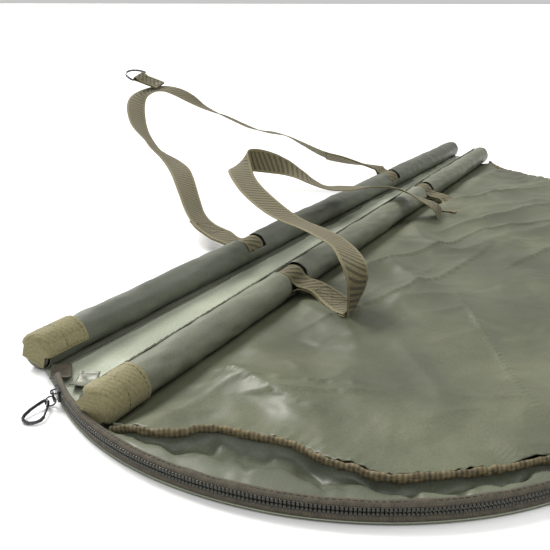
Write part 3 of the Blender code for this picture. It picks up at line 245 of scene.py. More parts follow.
def mix(tree, factor, first, second, kind="OVERLAY"):
    """Return the second colour blended over the first."""
    return add(tree, "Mix", {"Factor": factor, "A": first, "B": second}, "Result",
               data_type="RGBA", blend_type=kind)


def ribs(tree, place, pitch):
    """Return a wave from -1 to 1 that repeats at a pitch in metres."""
    turns = add(tree, "Math", {0: place, 1: 2 * math.pi / pitch}, operation="MULTIPLY")
    return add(tree, "Math", {0: turns}, operation="SINE")


def coated_cloth(name, code, shade, roughness, crumple):
    """Polyurethane-coated polyester: smooth, with soft broken highlights along its crumples, partly from its
    gloss and partly painted light in its colour.
    """
    made, tree, shader = start_finish(name, {"Roughness": roughness, "Specular IOR Level": 0.40})
    place = add(tree, "TexCoord", {}, "Object")
    # Broad soiling and shade changes, about 120 mm across
    broad = add(tree, "TexNoise", {"Vector": place, "Scale": 8.0, "Detail": 3.0})
    tone = ramp(tree, broad, (0.30, shade), (0.68, code))
    # Crumples from 50 mm down to 3 mm across, as the coating creases when it is folded away
    fine = add(tree, "TexNoise", {"Vector": place, "Scale": 19.0, "Detail": 4.0, "Roughness": 0.55,
                                  "Distortion": 0.8}, noise_type="RIDGED_MULTIFRACTAL")
    # Threads are 0.3 mm apart; drawn at 1.6 mm so that they still show
    weave = add(tree, "TexNoise", {"Vector": place, "Scale": 620.0, "Detail": 1.0})
    # The crumple noise tints the colour faintly: painted light along the crumple ridges and painted shade
    # between them; the weave goes over that
    weave_and_painted_crumple_light = mix(tree, 0.28, mix(tree, 0.10, tone, fine), weave)
    gloss = add(tree, "MapRange", {"Value": broad, "To Min": roughness - 0.08, "To Max": roughness + 0.10})
    rough = add(tree, "Bump", {"Height": weave, "Strength": 0.25, "Distance": 0.0002})
    crumpled = add(tree, "Bump", {"Height": fine, "Strength": crumple, "Distance": 0.0034, "Normal": rough})
    fill(shader, {"Base Color": weave_and_painted_crumple_light, "Roughness": gloss, "Normal": crumpled})
    return made


def ribbed_webbing(name, light, dark, edge, rib_share, pitch):
    """Woven polypropylene webbing: slanting ribs between two paler selvedges, dull with a slight sheen."""
    made, tree, shader = start_finish(name, {"Roughness": 0.78, "Sheen Weight": 0.05, "Sheen Roughness": 0.5})
    place = add(tree, "TexCoord", {}, "UV")
    along = add(tree, "SeparateXYZ", {"Vector": place}, "Y")
    across = along.node.outputs["X"]
    slant = add(tree, "Math", {0: across, 1: 0.55, 2: along}, operation="MULTIPLY_ADD")
    rib = add(tree, "MapRange", {"Value": ribs(tree, slant, pitch), "From Min": -0.75, "From Max": 0.35},
              interpolation_type="SMOOTHSTEP")
    # The selvedge is about 3 mm wide on each side
    side = add(tree, "Math", {0: across}, operation="ABSOLUTE")
    selvedge = add(tree, "MapRange", {"Value": side, "From Min": 0.0112, "From Max": 0.0126},
                   interpolation_type="SMOOTHSTEP")
    # Yarns are about 0.8 mm apart; drawn at 2.2 mm so that they still show
    yarn = add(tree, "TexNoise", {"Vector": place, "Scale": 450.0, "Detail": 2.0})
    # The ribs are the weave's pattern; the dark colour in the grooves between them is painted shade
    body = mix(tree, rib, linear(dark), linear(light), "MIX")
    plain = mix(tree, rib_share, linear(light), body, "MIX")
    edged = mix(tree, selvedge, plain, linear(edge), "MIX")
    raised = add(tree, "Math", {0: rib, 1: selvedge}, operation="MAXIMUM")
    bumped = add(tree, "Bump", {"Height": yarn, "Strength": 0.5, "Distance": 0.0004})
    ribbed = add(tree, "Bump", {"Height": raised, "Strength": 0.8 * rib_share, "Distance": 0.0007,
                                "Normal": bumped})
    fill(shader, {"Base Color": mix(tree, 0.45, edged, yarn), "Normal": ribbed})
    return made


def woven_tape(name, light, dark, pitch):
    """Narrow polyester tape with a ribbed weave, dull and slightly mottled."""
    made, tree, shader = start_finish(name, {"Roughness": 0.8})
    place = add(tree, "TexCoord", {}, "UV")
    wave = ribs(tree, add(tree, "SeparateXYZ", {"Vector": place}, "Y"), pitch)
    mottle = add(tree, "TexNoise", {"Vector": place, "Scale": 160.0, "Detail": 3.0})
    mottled = add(tree, "Math", {0: wave, 1: 0.12, 2: mottle}, operation="MULTIPLY_ADD")
    bumped = add(tree, "Bump", {"Height": mottled, "Strength": 0.6, "Distance": 0.0006})
    fill(shader, {"Base Color": ramp(tree, mottled, (0.25, dark), (0.70, light)), "Normal": bumped})
    return made


def plain_finish(name, code, shade, roughness, metallic, grain, depth):
    """A moulded, cast or spun finish with slight cloudiness and grain."""
    made, tree, shader = start_finish(name, {"Metallic": metallic})
    place = add(tree, "TexCoord", {}, "Object")
    cloud = add(tree, "TexNoise", {"Vector": place, "Scale": grain, "Detail": 3.0})
    gloss = add(tree, "MapRange", {"Value": cloud, "To Min": roughness - 0.08, "To Max": roughness + 0.12})
    bumped = add(tree, "Bump", {"Height": cloud, "Strength": 0.4, "Distance": depth})
    tone = ramp(tree, cloud, (0.35, shade), (0.65, code))
    fill(shader, {"Base Color": tone, "Roughness": gloss, "Normal": bumped})
    return made


FINISHES = {
    # Coated polyester: olive grey-green, smooth, breaks into soft highlights where it is creased
    "coated_polyester": (coated_cloth, "#62654F", "#474A39", 0.47, 1.0),
    # The same cloth drawn tight on the far pole: flatter, so fewer highlights
    "coated_polyester_sleeve": (coated_cloth, "#63665A", "#4D5043", 0.42, 0.80),
    # The near sleeve's cloth, painted paler: painted light for the lit top of the sleeve
    "coated_polyester_rubbed": (coated_cloth, "#767967", "#5A5D4D", 0.43, 0.80),
    # Silver-green coating of the inside: pale and glossier, so the folds shine
    "silver_coated_lining": (coated_cloth, "#AAAF9C", "#8B9180", 0.30, 0.70),
    # The same pale coating painted much paler on the narrow strip of the flap along the pole: a painted
    # highlight where it catches the light
    "silver_coated_flap": (coated_cloth, "#DADED3", "#C4C9BC", 0.28, 0.45),
    # Thin gusset cloth: close to the panels, with a darker second colour in broad patches, painted shade for
    # its crumples
    "gusset_polyester": (coated_cloth, "#646856", "#3D4134", 0.42, 1.0),
    # Polypropylene webbing of the handles: khaki, with ribs that slant across it and painted shade in the
    # grooves between them
    "polypropylene_webbing": (ribbed_webbing, "#645D3E", "#35301F", "#6C6546", 0.80, 0.0075),
    # The same webbing in the patches on the pole ends, where the ribs are pulled flat
    "flat_webbing": (ribbed_webbing, "#78724F", "#625C40", "#7C7655", 0.30, 0.0050),
    # Binding tape gathered round the cloth's edge: brownish khaki and dull
    "gathered_binding_tape": (woven_tape, "#75694B", "#352E1F", 0.0034),
    # Zip tape: brown polyester
    "zip_tape_polyester": (woven_tape, "#4F4839", "#37322A", 0.0020),
    # Moulded nylon zip teeth: near black with a soft gloss
    "moulded_nylon": (plain_finish, "#34332B", "#23231E", 0.38, 0.0, 300.0, 0.0002),
    # Die-cast zinc with black nickel plating: dark, with crisp reflections
    "black_nickel_zinc": (plain_finish, "#55565A", "#3A3B3E", 0.27, 1.0, 220.0, 0.0001),
    # Drawn aluminium tube: pale grey satin
    "drawn_aluminium": (plain_finish, "#C9CBC8", "#B2B5B3", 0.34, 1.0, 60.0, 0.0001),
    # Moulded polyethylene plug: brownish grey, waxy
    "moulded_polyethylene": (plain_finish, "#625E54", "#4C493F", 0.34, 0.0, 90.0, 0.0002),
    # Polyester sewing thread: matt, darker than what it sews
    "dark_thread": (plain_finish, "#524D38", "#433F2E", 0.75, 0.0, 900.0, 0.0001),
    # Seamless background paper: white and matt
    "seamless_paper": (plain_finish, "#F6F6F5", "#F3F3F2", 0.85, 0.0, 6.0, 0.0001),
}


def finish(name):
    """Return a finish by name, made the first time it is asked for."""
    maker, *values = FINISHES[name]
    return bpy.data.materials.get(name) or maker(name, *values)


def soft_noise(x, y, seed):
    """Smooth noise from -1 to 1 whose features are about 1 across."""
    table = np.random.default_rng(seed).uniform(-1, 1, (CELLS, CELLS))
    col, row = np.floor(x).astype(int), np.floor(y).astype(int)
    u, v = x - col, y - row
    u, v = u * u * (3 - 2 * u), v * v * (3 - 2 * v)
    low, high = (table[r % CELLS, col % CELLS] * (1 - u) + table[r % CELLS, (col + 1) % CELLS] * u
                 for r in (row, row + 1))
    return low * (1 - v) + high * v


def to_line(x, y, line):
    """Distance to a plan line, place along it, and side of it, for arrays of points."""
    best = np.full(x.shape, 1e9)
    place, side = np.zeros(x.shape), np.ones(x.shape)
    travelled = 0.0
    for (ax, ay), (bx, by) in zip(line, line[1:]):
        long = math.hypot(bx - ax, by - ay)
        t = np.clip(((x - ax) * (bx - ax) + (y - ay) * (by - ay)) / long ** 2, 0, 1)
        away = np.hypot(x - ax - t * (bx - ax), y - ay - t * (by - ay))
        near = away < best
        best = np.where(near, away, best)
        place = np.where(near, travelled + t * long, place)
        side = np.where(near, np.sign((bx - ax) * (y - ay) - (by - ay) * (x - ax)), side)
        travelled += long
    return best, place, side


def hollows(x, y, creases):
    """Height of a set of creases at plan points."""
    height = np.zeros(x.shape)
    for line, tall, wide in creases:
        away, place, side = to_line(x, y, line)
        long = sum(math.dist(a, b) for a, b in zip(line, line[1:]))
        ends = np.clip(np.minimum(place, long - place) / (0.3 * long), 0, 1)
        height += tall * np.exp(-(away / wide) ** 1.25) * (0.35 + 0.65 * ends) * (1 + 0.25 * side)
    return height


def strewn_creases(seed):
    """Short creases strewn over a plan rectangle, mostly slanting with the cloth's pull."""
    rng = np.random.default_rng(seed)
    made = []
    for _ in range(STREWN):
        x, y = (rng.uniform(a, b) for a, b in zip(STREWN_LOW, STREWN_HIGH))
        turn = rng.normal(-0.55, 0.5)
        long = rng.uniform(0.35, 1.0) * STREWN_LENGTH
        bend = rng.normal(0, 0.25)
        points = [(x + math.cos(turn + bend * t) * long * t, y + math.sin(turn + bend * t) * long * t)
                  for t in (0, 0.35, 0.7, 1.0)]
        made.append((points, rng.uniform(-0.6, 1.0), STREWN_WIDTH * rng.uniform(0.6, 1.4)))
    return made


def travel(points, axis=0):
    """Return the distance travelled along a line of points, or along one axis of a grid of them."""
    lengths = np.linalg.norm(np.diff(np.array(points, float), axis=axis), axis=-1)
    return np.insert(np.cumsum(lengths, axis=axis), 0, 0.0, axis=axis)


def places_on(line, wanted):
    """Return the points at given distances along a line."""
    line = np.array(line, float)
    places = travel(line)
    return np.stack([np.interp(wanted, places, column) for column in line.T], axis=1)


def even(points, step):
    """Return points at even distances along a line."""
    total = travel(points)[-1]
    return places_on(points, np.linspace(0, total, max(2, int(total / step) + 1)))


def ticks(marks, step):
    """Return rising values that hold every mark, about a step apart."""
    values = []
    for a, b in zip(marks, marks[1:]):
        values += list(np.linspace(a, b, max(2, int((b - a) / step)) + 1)[:-1])
    return np.array(values + [marks[-1]])


def two_ways(along, across):
    """Return a grid's two coordinates from a start, stop and count each."""
    return np.meshgrid(np.linspace(*along), np.linspace(*across), indexing="ij")


def new_piece(name, points, faces, uvs, finishes):
    """Make a smooth mesh object; uvs holds a pair in metres for each point."""
    data = bpy.data.meshes.new(name)
    data.from_pydata([tuple(p) for p in points], [], faces)
    layer = data.uv_layers.new(name="UVMap")
    corners = np.empty(len(data.loops), int)
    data.loops.foreach_get("vertex_index", corners)
    layer.data.foreach_set("uv", np.asarray(uvs, float)[corners].ravel())
    data.polygons.foreach_set("use_smooth", [True] * len(data.polygons))
    for each in finishes:
        data.materials.append(finish(each))
    item = bpy.data.objects.new(name, data)
    bpy.context.scene.collection.objects.link(item)
    return item


def grid_faces(rows, cols, keep=None):
    """Quads of a grid of points, leaving out those that keep turns down."""
    corners = [(r, c, r * cols + c) for r in range(rows - 1) for c in range(cols - 1)]
    return [(a, a + 1, a + cols + 1, a + cols) for r, c, a in corners if keep is None or keep(r, c)]


def cloth_piece(name, grid, finishes, thickness, keep=None):
    """Make cloth from a grid of points (rows, columns, 3), with UVs in metres."""
    rows, cols = grid.shape[:2]
    across = travel(grid, 1)
    uvs = np.stack([across - across[:, -1:] / 2, travel(grid)], axis=2).reshape(-1, 2)
    item = new_piece(name, grid.reshape(-1, 3), grid_faces(rows, cols, keep), uvs, finishes)
    solid = item.modifiers.new("thickness", "SOLIDIFY")
    solid.thickness = thickness
    solid.offset = 0.0
    solid.material_offset = 1 if len(finishes) > 1 else 0
    return item


def ringed_piece(name, rings, uvs, colour):
    """Make a closed piece through rings of points; each ring's last point repeats its first."""
    count = len(rings[0])
    last = (len(rings) - 1) * count
    faces = grid_faces(len(rings), count)
    faces.append(tuple(range(count - 1)))
    faces.append(tuple(last + s for s in reversed(range(count - 1))))
    return new_piece(name, [p for ring in rings for p in ring], faces, uvs, [colour])


def heading(path, k):
    """Return the direction of a path at one of its points."""
    return (path[min(k + 1, len(path) - 1)] - path[max(k - 1, 0)]).normalized()


def tube_piece(name, line, radius_at):
    """Make gathered tape along a line of points; radius_at(place along, angle) gives its radius."""
    line = [Vector(p) for p in line]
    angles = [2 * math.pi * s / TUBE_SIDES for s in range(TUBE_SIDES + 1)]
    rings, uvs = [], []
    for k, (centre, place) in enumerate(zip(line, travel(line))):
        run = heading(line, k)
        aside = run.cross(UP).normalized()
        rise = aside.cross(run)
        radii = [radius_at(place, a % (2 * math.pi)) for a in angles]
        rings.append([centre + (aside * math.cos(a) + rise * math.sin(a)) * radius
                      for a, radius in zip(angles, radii)])
        uvs += [(a * 0.003, place) for a in angles]
    return ringed_piece(name, rings, uvs, "gathered_binding_tape")


def smooth(points, steps=STEPS):
    """Return points along a smooth curve through the given ones."""
    count = len(points)
    result = []
    for k in range(count - 1):
        before, here = points[max(k - 1, 0)], points[k]
        following, beyond = points[k + 1], points[min(k + 2, count - 1)]
        for step in range(steps):
            t = step / steps
            bend = (2 * here + (following - before) * t
                    + (2 * before - 5 * here + 4 * following - beyond) * t ** 2
                    + (3 * here - before - 3 * following + beyond) * t ** 3)
            result.append(bend / 2)
    result.append(points[-1])
    return result


class Pole:
    """The line that a pole follows, and the directions across it."""

    def __init__(self, x, y, z, degrees):
        self.along = Vector((math.cos(math.radians(degrees)), math.sin(math.radians(degrees)), 0))
        self.across = Vector((-self.along.y, self.along.x, 0))
        self.middle = Vector((x, y, z))

    def point(self, along, across=0.0, up=0.0):
        """Return the world point at distances from the pole's middle."""
        return self.middle + self.along * along + self.across * across + UP * up

    def points(self, along, across, up):
        """Return world points for arrays of distances from the pole's middle."""
        ways = ((along, self.along), (across, self.across), (up, UP))
        return np.array(self.middle) + sum(np.multiply.outer(far, np.array(way)) for far, way in ways)

    def round_points(self, along, angles, radii):
        """Return world points round the pole for arrays of places, angles in degrees and radii."""
        turn = np.radians(angles)
        return self.points(along, radii * np.cos(turn), radii * np.sin(turn))


NEAR = Pole(*NEAR_POLE)
FAR = Pole(*FAR_POLE)


def arc_point(degrees, inset=0.0):
    """Return a plan point on the zip's arc, or at a distance inside it."""
    turn, radius = np.radians(degrees), ARC_RADIUS - inset
    return ARC_X + radius * np.cos(turn), ARC_Y + radius * np.sin(turn)


def body_place(x, y):
    """Return a plan point from shares of the body's half width and depth."""
    return x * BODY_HALF, BODY_TOP - y * BODY_DEPTH


# Centre lines of both bindings
LEFT_LINE = smooth([Vector((*body_place(x, y), z * BINDING_HEIGHT)) for x, y, z in LEFT_BINDING]
                   + [Vector((*arc_point(degrees, inset * BINDING_INSET), z * BINDING_HEIGHT))
                      for degrees, inset, z in LEFT_BINDING_ARC])
RIGHT_LINE = smooth([Vector((*body_place(x, y), RIGHT_EDGE_HEIGHT)) for x, y in RIGHT_BINDING])


def beside(path, distance):
    """Shift a plan path sideways; a positive distance is to its left."""
    moved = []
    for k, point in enumerate(path):
        run = heading(path, k)
        moved.append(point + Vector((-run.y, run.x, 0)).normalized() * distance)
    return moved


def stations(centres, widths):
    """Return (point, across, face direction) along a path."""
    found = []
    for k, (centre, width) in enumerate(zip(centres, widths)):
        run = heading(centres, k)
        across = (width - run * width.dot(run)).normalized()
        found.append((centre, across, run.cross(across)))
    return found


def layer(places, distance, backwards=False):
    """Shift a run of stations along their faces, and turn it round if asked."""
    moved = [(point + face * distance, across, face) for point, across, face in places]
    if backwards:
        moved = [(point, across, -face) for point, across, face in reversed(moved)]
    return moved


def wrap(pole, anchor, exit_degrees, width, backwards=False):
    """Return stations of webbing round a pole, from its lower layer to its upper one."""
    turn = math.radians(exit_degrees)
    out = pole.across * math.cos(turn) + UP * math.sin(turn)
    side = -pole.across * math.sin(turn) + UP * math.cos(turn)
    centre = pole.point(anchor)
    # Both layers leave the pole through these distances out and aside, and the loop fills the rest
    exits = [(1.42 * WRAP_RADIUS, 1.47 * LAYER), (1.86 * WRAP_RADIUS, LAYER)]
    points = [centre + out * a - side * b for a, b in reversed(exits)]
    opening, count = math.radians(24), 48
    for k in range(count + 1):
        angle = -opening - (2 * math.pi - 2 * opening) * k / count
        points.append(centre + (out * math.cos(angle) + side * math.sin(angle)) * WRAP_RADIUS)
    points += [centre + out * a + side * b for a, b in exits]
    if backwards:
        points.reverse()
    return stations(points, [width] * len(points))


def route(pole, size, table):
    """Turn a table of shares into smooth stations."""
    middle, spread, reach, rise = size
    centres = [pole.point(middle + x * spread, y * reach, z * rise) for x, y, z, side in table]
    sides = [Vector(side).normalized() for x, y, z, side in table]
    return stations(smooth(centres), smooth(sides))


def mitre(places, cut):
    """Slant the last stretch of a strap so that its end lies along the cut's direction."""
    end = places[-1][0]
    slanted = []
    for point, across, face in places:
        run = across.cross(face)
        if run.dot(end - places[0][0]) < 0:
            run = -run
        share = max(0.0, 1 - (end - point).length / MITRE_REACH)
        slanted.append((point, across + run * (share * cut.dot(run) / cut.dot(across)), face))
    return slanted


def under(places):
    """Return the doubled webbing's lower layer beneath the start of a path, outer end first."""
    count = 1 + int(np.searchsorted(travel([place[0] for place in places]), DOUBLED))
    options = [layer(places[:count], side * 2 * LAYER, True) for side in (-1, 1)]
    return min(options, key=lambda option: option[-1][0].z)


def strap_piece(name, places):
    """Make flat webbing with soft edges through its stations, with UVs in metres."""
    half, skin = WEBBING_WIDTH / 2, WEBBING / 2
    ring = STRAP_SIDE + [(a, -b) for a, b in reversed(STRAP_SIDE[1:-1])] + STRAP_SIDE[:1]
    rings = [[point + across * (a * half) + face * (b * skin) for a, b in ring]
             for point, across, face in places]
    uvs = [(a * half, along) for along in travel([place[0] for place in places]) for a, b in ring]
    return ringed_piece(name, rings, uvs, "polypropylene_webbing")


def on_strap(places, across, along, lift):
    """Return the point on a strap's face at distances across and along it."""
    travelled = 0.0
    for here, following in zip(places, places[1:]):
        long = (following[0] - here[0]).length
        if travelled + long >= along or following is places[-1]:
            t = min(1.0, max(0.0, (along - travelled) / max(long, 1e-9)))
            point, aside, face = (a.lerp(b, t) for a, b in zip(here, following))
            return point + aside.normalized() * across + face.normalized() * lift
        travelled += long


def loops(first, rows, sides):
    """Faces of a closed body of rings, whose first point has a given number."""
    faces = [(first + r * sides + s, first + r * sides + (s + 1) % sides,
              first + (r + 1) * sides + (s + 1) % sides, first + (r + 1) * sides + s)
             for r in range(rows - 1) for s in range(sides)]
    last = first + (rows - 1) * sides
    return faces + [tuple(range(first + sides - 1, first - 1, -1)), tuple(range(last, last + sides))]


def thread_piece(name, runs, stitch=0.0032, pause=0.0010, radius=0.00024):
    """Sew dashes of thread along each run of points."""
    points, faces, uvs = [], [], []
    turns = [2 * math.pi * s / THREAD_SIDES for s in range(THREAD_SIDES)]
    for run in runs:
        total = travel(run)[-1]
        start = 0.0
        while start + 0.5 * stitch < total:
            stop = min(start + stitch, total)
            spots = places_on(run, np.linspace(start, stop, 4))
            way = spots[-1] - spots[0]
            way /= max(np.linalg.norm(way), 1e-9)
            aside = np.cross(way, (0.12, 0.21, 0.97))
            aside /= np.linalg.norm(aside)
            rise = np.cross(aside, way)
            first = len(points)
            for spot, swell in zip(spots, (0.45, 1.0, 1.0, 0.45)):
                points += [spot + (aside * math.cos(a) + rise * math.sin(a)) * radius * swell for a in turns]
                uvs += [(s * 0.0004, start) for s in range(THREAD_SIDES)]
            faces += loops(first, 4, THREAD_SIDES)
            start = stop + pause
    return new_piece(name, points, faces, uvs, ["dark_thread"])


def box_stitch(places, start, end, lift):
    """Runs of a sewn box with a cross, on a strap between two places along it."""
    side = WEBBING_WIDTH / 2 - STITCH_INSET
    corners = [(-side, start), (side, start), (side, end), (-side, end)]
    runs = []
    for first, last in ((0, 1), (1, 2), (2, 3), (3, 0), (0, 2), (1, 3)):
        (a, b), (c, d) = corners[first], corners[last]
        runs.append([on_strap(places, a + (c - a) * t, b + (d - b) * t, lift) for t in np.linspace(0, 1, 12)])
    return runs


def wear(item, body, slot_name, *nodes):
    """Let a piece ride on its body and stand for its CAD nodes; the slot name is not used."""
    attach(item, body)
    if nodes:
        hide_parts(*nodes)


class WeighSlingSizes(bpy.types.PropertyGroup):
    """Sizes that change how the cloth and its sewing look."""
    grid: bpy.props.FloatProperty(name="Cloth grid", description="Distance between points of the large cloth",
                                  default=0.003, min=0.002, unit="LENGTH")
    billow: bpy.props.FloatProperty(name="Billow", description="Height of the broad folds in the upper cloth",
                                    default=0.0030, unit="LENGTH")
    crumple: bpy.props.FloatProperty(name="Crumple", description="Height of the short creases in the cloth",
                                     default=0.0019, unit="LENGTH")
    ridge: bpy.props.FloatProperty(name="Ridge", description="Height of the sharp ridges left by folding",
                                   default=0.0062, unit="LENGTH", subtype="DISTANCE")
    gather_pitch: bpy.props.FloatProperty(name="Gather pitch", description="Distance between gathers",
                                          default=0.0085, unit="LENGTH")
    gather_height: bpy.props.FloatProperty(name="Gather height", default=0.0012, unit="LENGTH",
                                           description="Height of gathers at the binding")
    stitch: bpy.props.FloatProperty(name="Stitch length", description="Length of one stitch",
                                    default=0.0032, unit="LENGTH")


class WeighSlingColours(bpy.types.PropertyGroup):
    """Colours of the light and the background."""
    background: bpy.props.FloatVectorProperty(name="Background", description="Colour of the light all round",
                                              default=(1.0, 1.0, 1.0), size=3, min=0.0, max=1.0,
                                              subtype="COLOR")
    key: bpy.props.FloatVectorProperty(name="Key light", description="Colour of the main lamp",
                                       default=(1.0, 0.985, 0.96), size=3, min=0.0, max=1.0, subtype="COLOR")


def panel_edges():
    """Return the upper cloth's left and right side, which run just outside the bindings' middles."""
    half, clear, edges = 0.544, 0.0016, []
    for side, line, seam_x in ((-1, LEFT_LINE, SEAM_START), (1, RIGHT_LINE, SEAM_END)):
        top = [Vector((side * half, BODY_TOP + 0.02, 0)), Vector((side * half, line[0].y + 0.006, 0))]
        edges.append(top + beside(line, -side * clear) + [Vector((seam_x, SEAM_Y, SEAM_Z))])
    return edges


def read(path, where, key):
    """Read a path's coordinate at given y."""
    return np.interp(where, *zip(*sorted((p.y, getattr(p, key)) for p in path)))[:, None]


class WEIGH_SLING_OT_upper_cloth(bpy.types.Operator):
    """Make the large upper cloth with its folds, creases and gathers"""
    bl_idname = "weigh_sling.upper_cloth"
    bl_label = "Upper cloth"

    def execute(self, context):
        sizes = context.scene.weigh_sling_sizes
        top = body_place(0, PANEL_LOFT[0][0])[1]
        ys = np.linspace(top, SEAM_Y + 0.001, int((top - SEAM_Y) / sizes.grid))
        start, end = (read(side, ys, "x") for side in panel_edges())
        x = start + (end - start) * np.linspace(0, 1, int(1.08 / sizes.grid))
        y = np.repeat(ys[:, None], x.shape[1], axis=1)
        loft = np.interp((BODY_TOP - ys) / BODY_DEPTH, *zip(*PANEL_LOFT)) * CLOTH_LOFT
        loft = np.convolve(np.pad(loft, 4, mode="edge"), np.ones(9) / 9, mode="valid")
        z = np.repeat(loft[:, None], x.shape[1], axis=1)
        # The edges rise to the bindings over this distance
        reach = 0.045
        below_left, below_right = ((ys < line[0].y)[:, None] for line in (LEFT_LINE, RIGHT_LINE))
        left_weight = np.clip(1 - (x - start) / reach, 0, 1) ** 2 * below_left
        right_weight = np.clip(1 - (end - x) / reach, 0, 1) ** 2 * below_right
        z += (read(LEFT_LINE, ys, "z") - z) * left_weight + (RIGHT_EDGE_HEIGHT - z) * right_weight
        # Folds are held down under the pole and at the bottom seam, and fade out towards the bindings
        calm = np.clip((BODY_TOP - 0.020 - y) / 0.030, 0, 1) * np.clip((y - SEAM_Y) / 0.030, 0, 1)
        inner = calm * (1 - 0.8 * left_weight) * (1 - 0.8 * right_weight)
        slant, cross = 0.8 * x + 0.6 * y, -0.6 * x + 0.8 * y
        z += inner * sizes.billow * (0.6 + soft_noise(slant / 0.12, cross / 0.055, 11)
                                     + 0.45 * soft_noise(slant / 0.055, cross / 0.026, 12))
        sharp = 1 - 1.6 * np.abs(soft_noise(slant / 0.110 + 0.3 * cross / 0.1, cross / 0.060, 16))
        finer = 1 - 1.6 * np.abs(soft_noise(slant / 0.048 + 7.3, cross / 0.030 + 2.1, 17))
        patchy = 0.5 + 0.5 * soft_noise(x / 0.16, y / 0.12, 18)
        z += inner * sizes.ridge * (sharp + 0.40 * patchy * finer)
        z += inner * 1.7 * hollows(x, y, CREASES)
        z += inner * sizes.crumple * np.clip(hollows(x, y, strewn_creases(21)), -1.2, 1.6)
        z += calm * 0.00025 * soft_noise(x / 0.008, y / 0.008, 13)
        for path in (LEFT_LINE, RIGHT_LINE):
            away, place, _ = to_line(x, y, [(p.x, p.y) for p in path])
            bunch = place + 0.004 * soft_noise(place / 0.03, place * 0, 14)
            fine = np.sin(2 * math.pi * bunch / sizes.gather_pitch) * np.exp(-away / 0.011)
            coarse = soft_noise(place / 0.020, away / 0.10, 15) * np.exp(-away / 0.050)
            z += calm * sizes.gather_height * (fine + 2.2 * coarse)
        grid = np.stack([x, y, np.maximum(z, 0.0028)], axis=2)
        item = cloth_piece("upper_cloth", grid, ["coated_polyester"], PANEL_SKIN)
        wear(item, "near_side", "cloth", "upper_panel")
        return {"FINISHED"}


class WEIGH_SLING_OT_lower_cloth(bpy.types.Operator):
    """Make the lower cloth, whose pale coated side shows in the mouth"""
    bl_idname = "weigh_sling.lower_cloth"
    bl_label = "Lower cloth"

    def execute(self, context):
        back = [FAR.point(x, -0.0069) for x in (-POLE_HALF, POLE_HALF)]
        rim = [arc_point(a, -0.0003) for a in np.arange(ZIP_TOP, ZIP_BOTTOM + 4.1, 2.0)]
        left = [back[0][:2], (-0.517, 0.020)] + rim
        right = [back[1][:2]] + [body_place(x, y) for x, y in RIGHT_OUTLINE]
        low = min(p[1] for p in rim)
        down = np.linspace(0, 1, int((max(back[0].y, back[1].y) - low) / 0.005))[:, None]
        share = np.linspace(0, 1, 230)
        # The top edge follows the far pole, so rows turn from its slant to level
        ends = []
        for corner, side in zip(back, (left, right)):
            edge_y = corner.y + (low - corner.y) * down
            ends.append((np.interp(-edge_y, [-p[1] for p in side], [p[0] for p in side]), edge_y))
        x, y = (a + (b - a) * share for a, b in zip(*ends))
        # In the mouth the cloth lies loose, drawn into soft folds between the poles
        middle = np.exp(-(((y + 0.004) / 0.022) ** 2)) * np.clip((x + 0.50) / 0.05, 0, 1)
        folds = 0.5 + 0.5 * soft_noise((0.9 * x + 1.6 * y) / 0.060, (y - 0.15 * x) / 0.018, 31)
        finer = soft_noise((x + 0.9 * y) / 0.022, (y - 0.3 * x) / 0.011, 32)
        z = 0.0012 + middle * (0.0046 * folds + 0.0009 * finer)
        z += 0.0003 * (1 + soft_noise(x / 0.03, y / 0.03, 33))
        item = cloth_piece("lower_cloth", np.stack([x, y, np.maximum(z, 0.0008)], axis=2),
                           ["coated_polyester", "silver_coated_lining"], PANEL_SKIN)
        wear(item, "base", "cloth", "lower_panel")
        return {"FINISHED"}


def left_gusset_piece():
    """Make the left gusset, which falls in crumples from the zip and rises again to the binding."""
    inner = even(beside(LEFT_LINE, 0.0034), 0.0025)
    share = np.linspace(0, 1, len(inner))
    # It starts at the zip's height, between these places on its arc
    zip_z, first, last = 0.0122, 161.5, 256.0
    outer = np.array([(*arc_point(first + (last - first) * s, 0.0040), zip_z) for s in share])
    t = np.linspace(0, 1, 30)[None, :]
    wide = np.linalg.norm((outer - inner)[:, :2], axis=1)[:, None]
    grid = outer[:, None, :] * (1 - t[..., None]) + inner[:, None, :] * t[..., None]
    place = share[:, None] * 0.50
    slack = np.clip(wide / BINDING_INSET, 0, 1) ** 1.5
    # The wall ends just under the binding, which overhangs it and keeps it in shade
    inner_z = np.maximum(inner[:, 2:3] - 0.0018, 0.0143)
    crest = 0.0018 * np.exp(-((t - 0.25) / 0.13) ** 2)
    valley = -0.0082 * np.exp(-((t - 0.74) / 0.24) ** 2) * np.clip((1 - t) * 12, 0, 1)
    z = zip_z + (inner_z - zip_z) * np.clip(t * 12 - 11, 0, 1) + slack * (crest + valley)
    edge = np.sin(math.pi * t) ** 0.7
    pulls = soft_noise(place / 0.016 + 1.5 * t, t * 1.2, 41)
    z = z + edge * slack * (0.0044 * pulls + 0.0026 * soft_noise(place / 0.008, t * 3, 42))
    along = np.gradient(outer[:, :2], axis=0)
    along /= np.linalg.norm(along, axis=1)[:, None]
    sway = edge * 0.0022 * soft_noise(place / 0.024, t * 2.0, 43)
    grid[..., :2] += along[:, None, :] * sway[..., None]
    # Crumples stay below the height where the cloth starts to follow the binding
    calm_z, room = 0.0105, 0.0022
    low = np.where(z > calm_z, calm_z + room * np.tanh((z - calm_z) / room), z)
    grid[..., 2] = np.maximum(np.where(t < 0.93, low, z), 0.0030)
    return cloth_piece("left_gusset_cloth", grid, ["gusset_polyester"], THIN_SKIN)


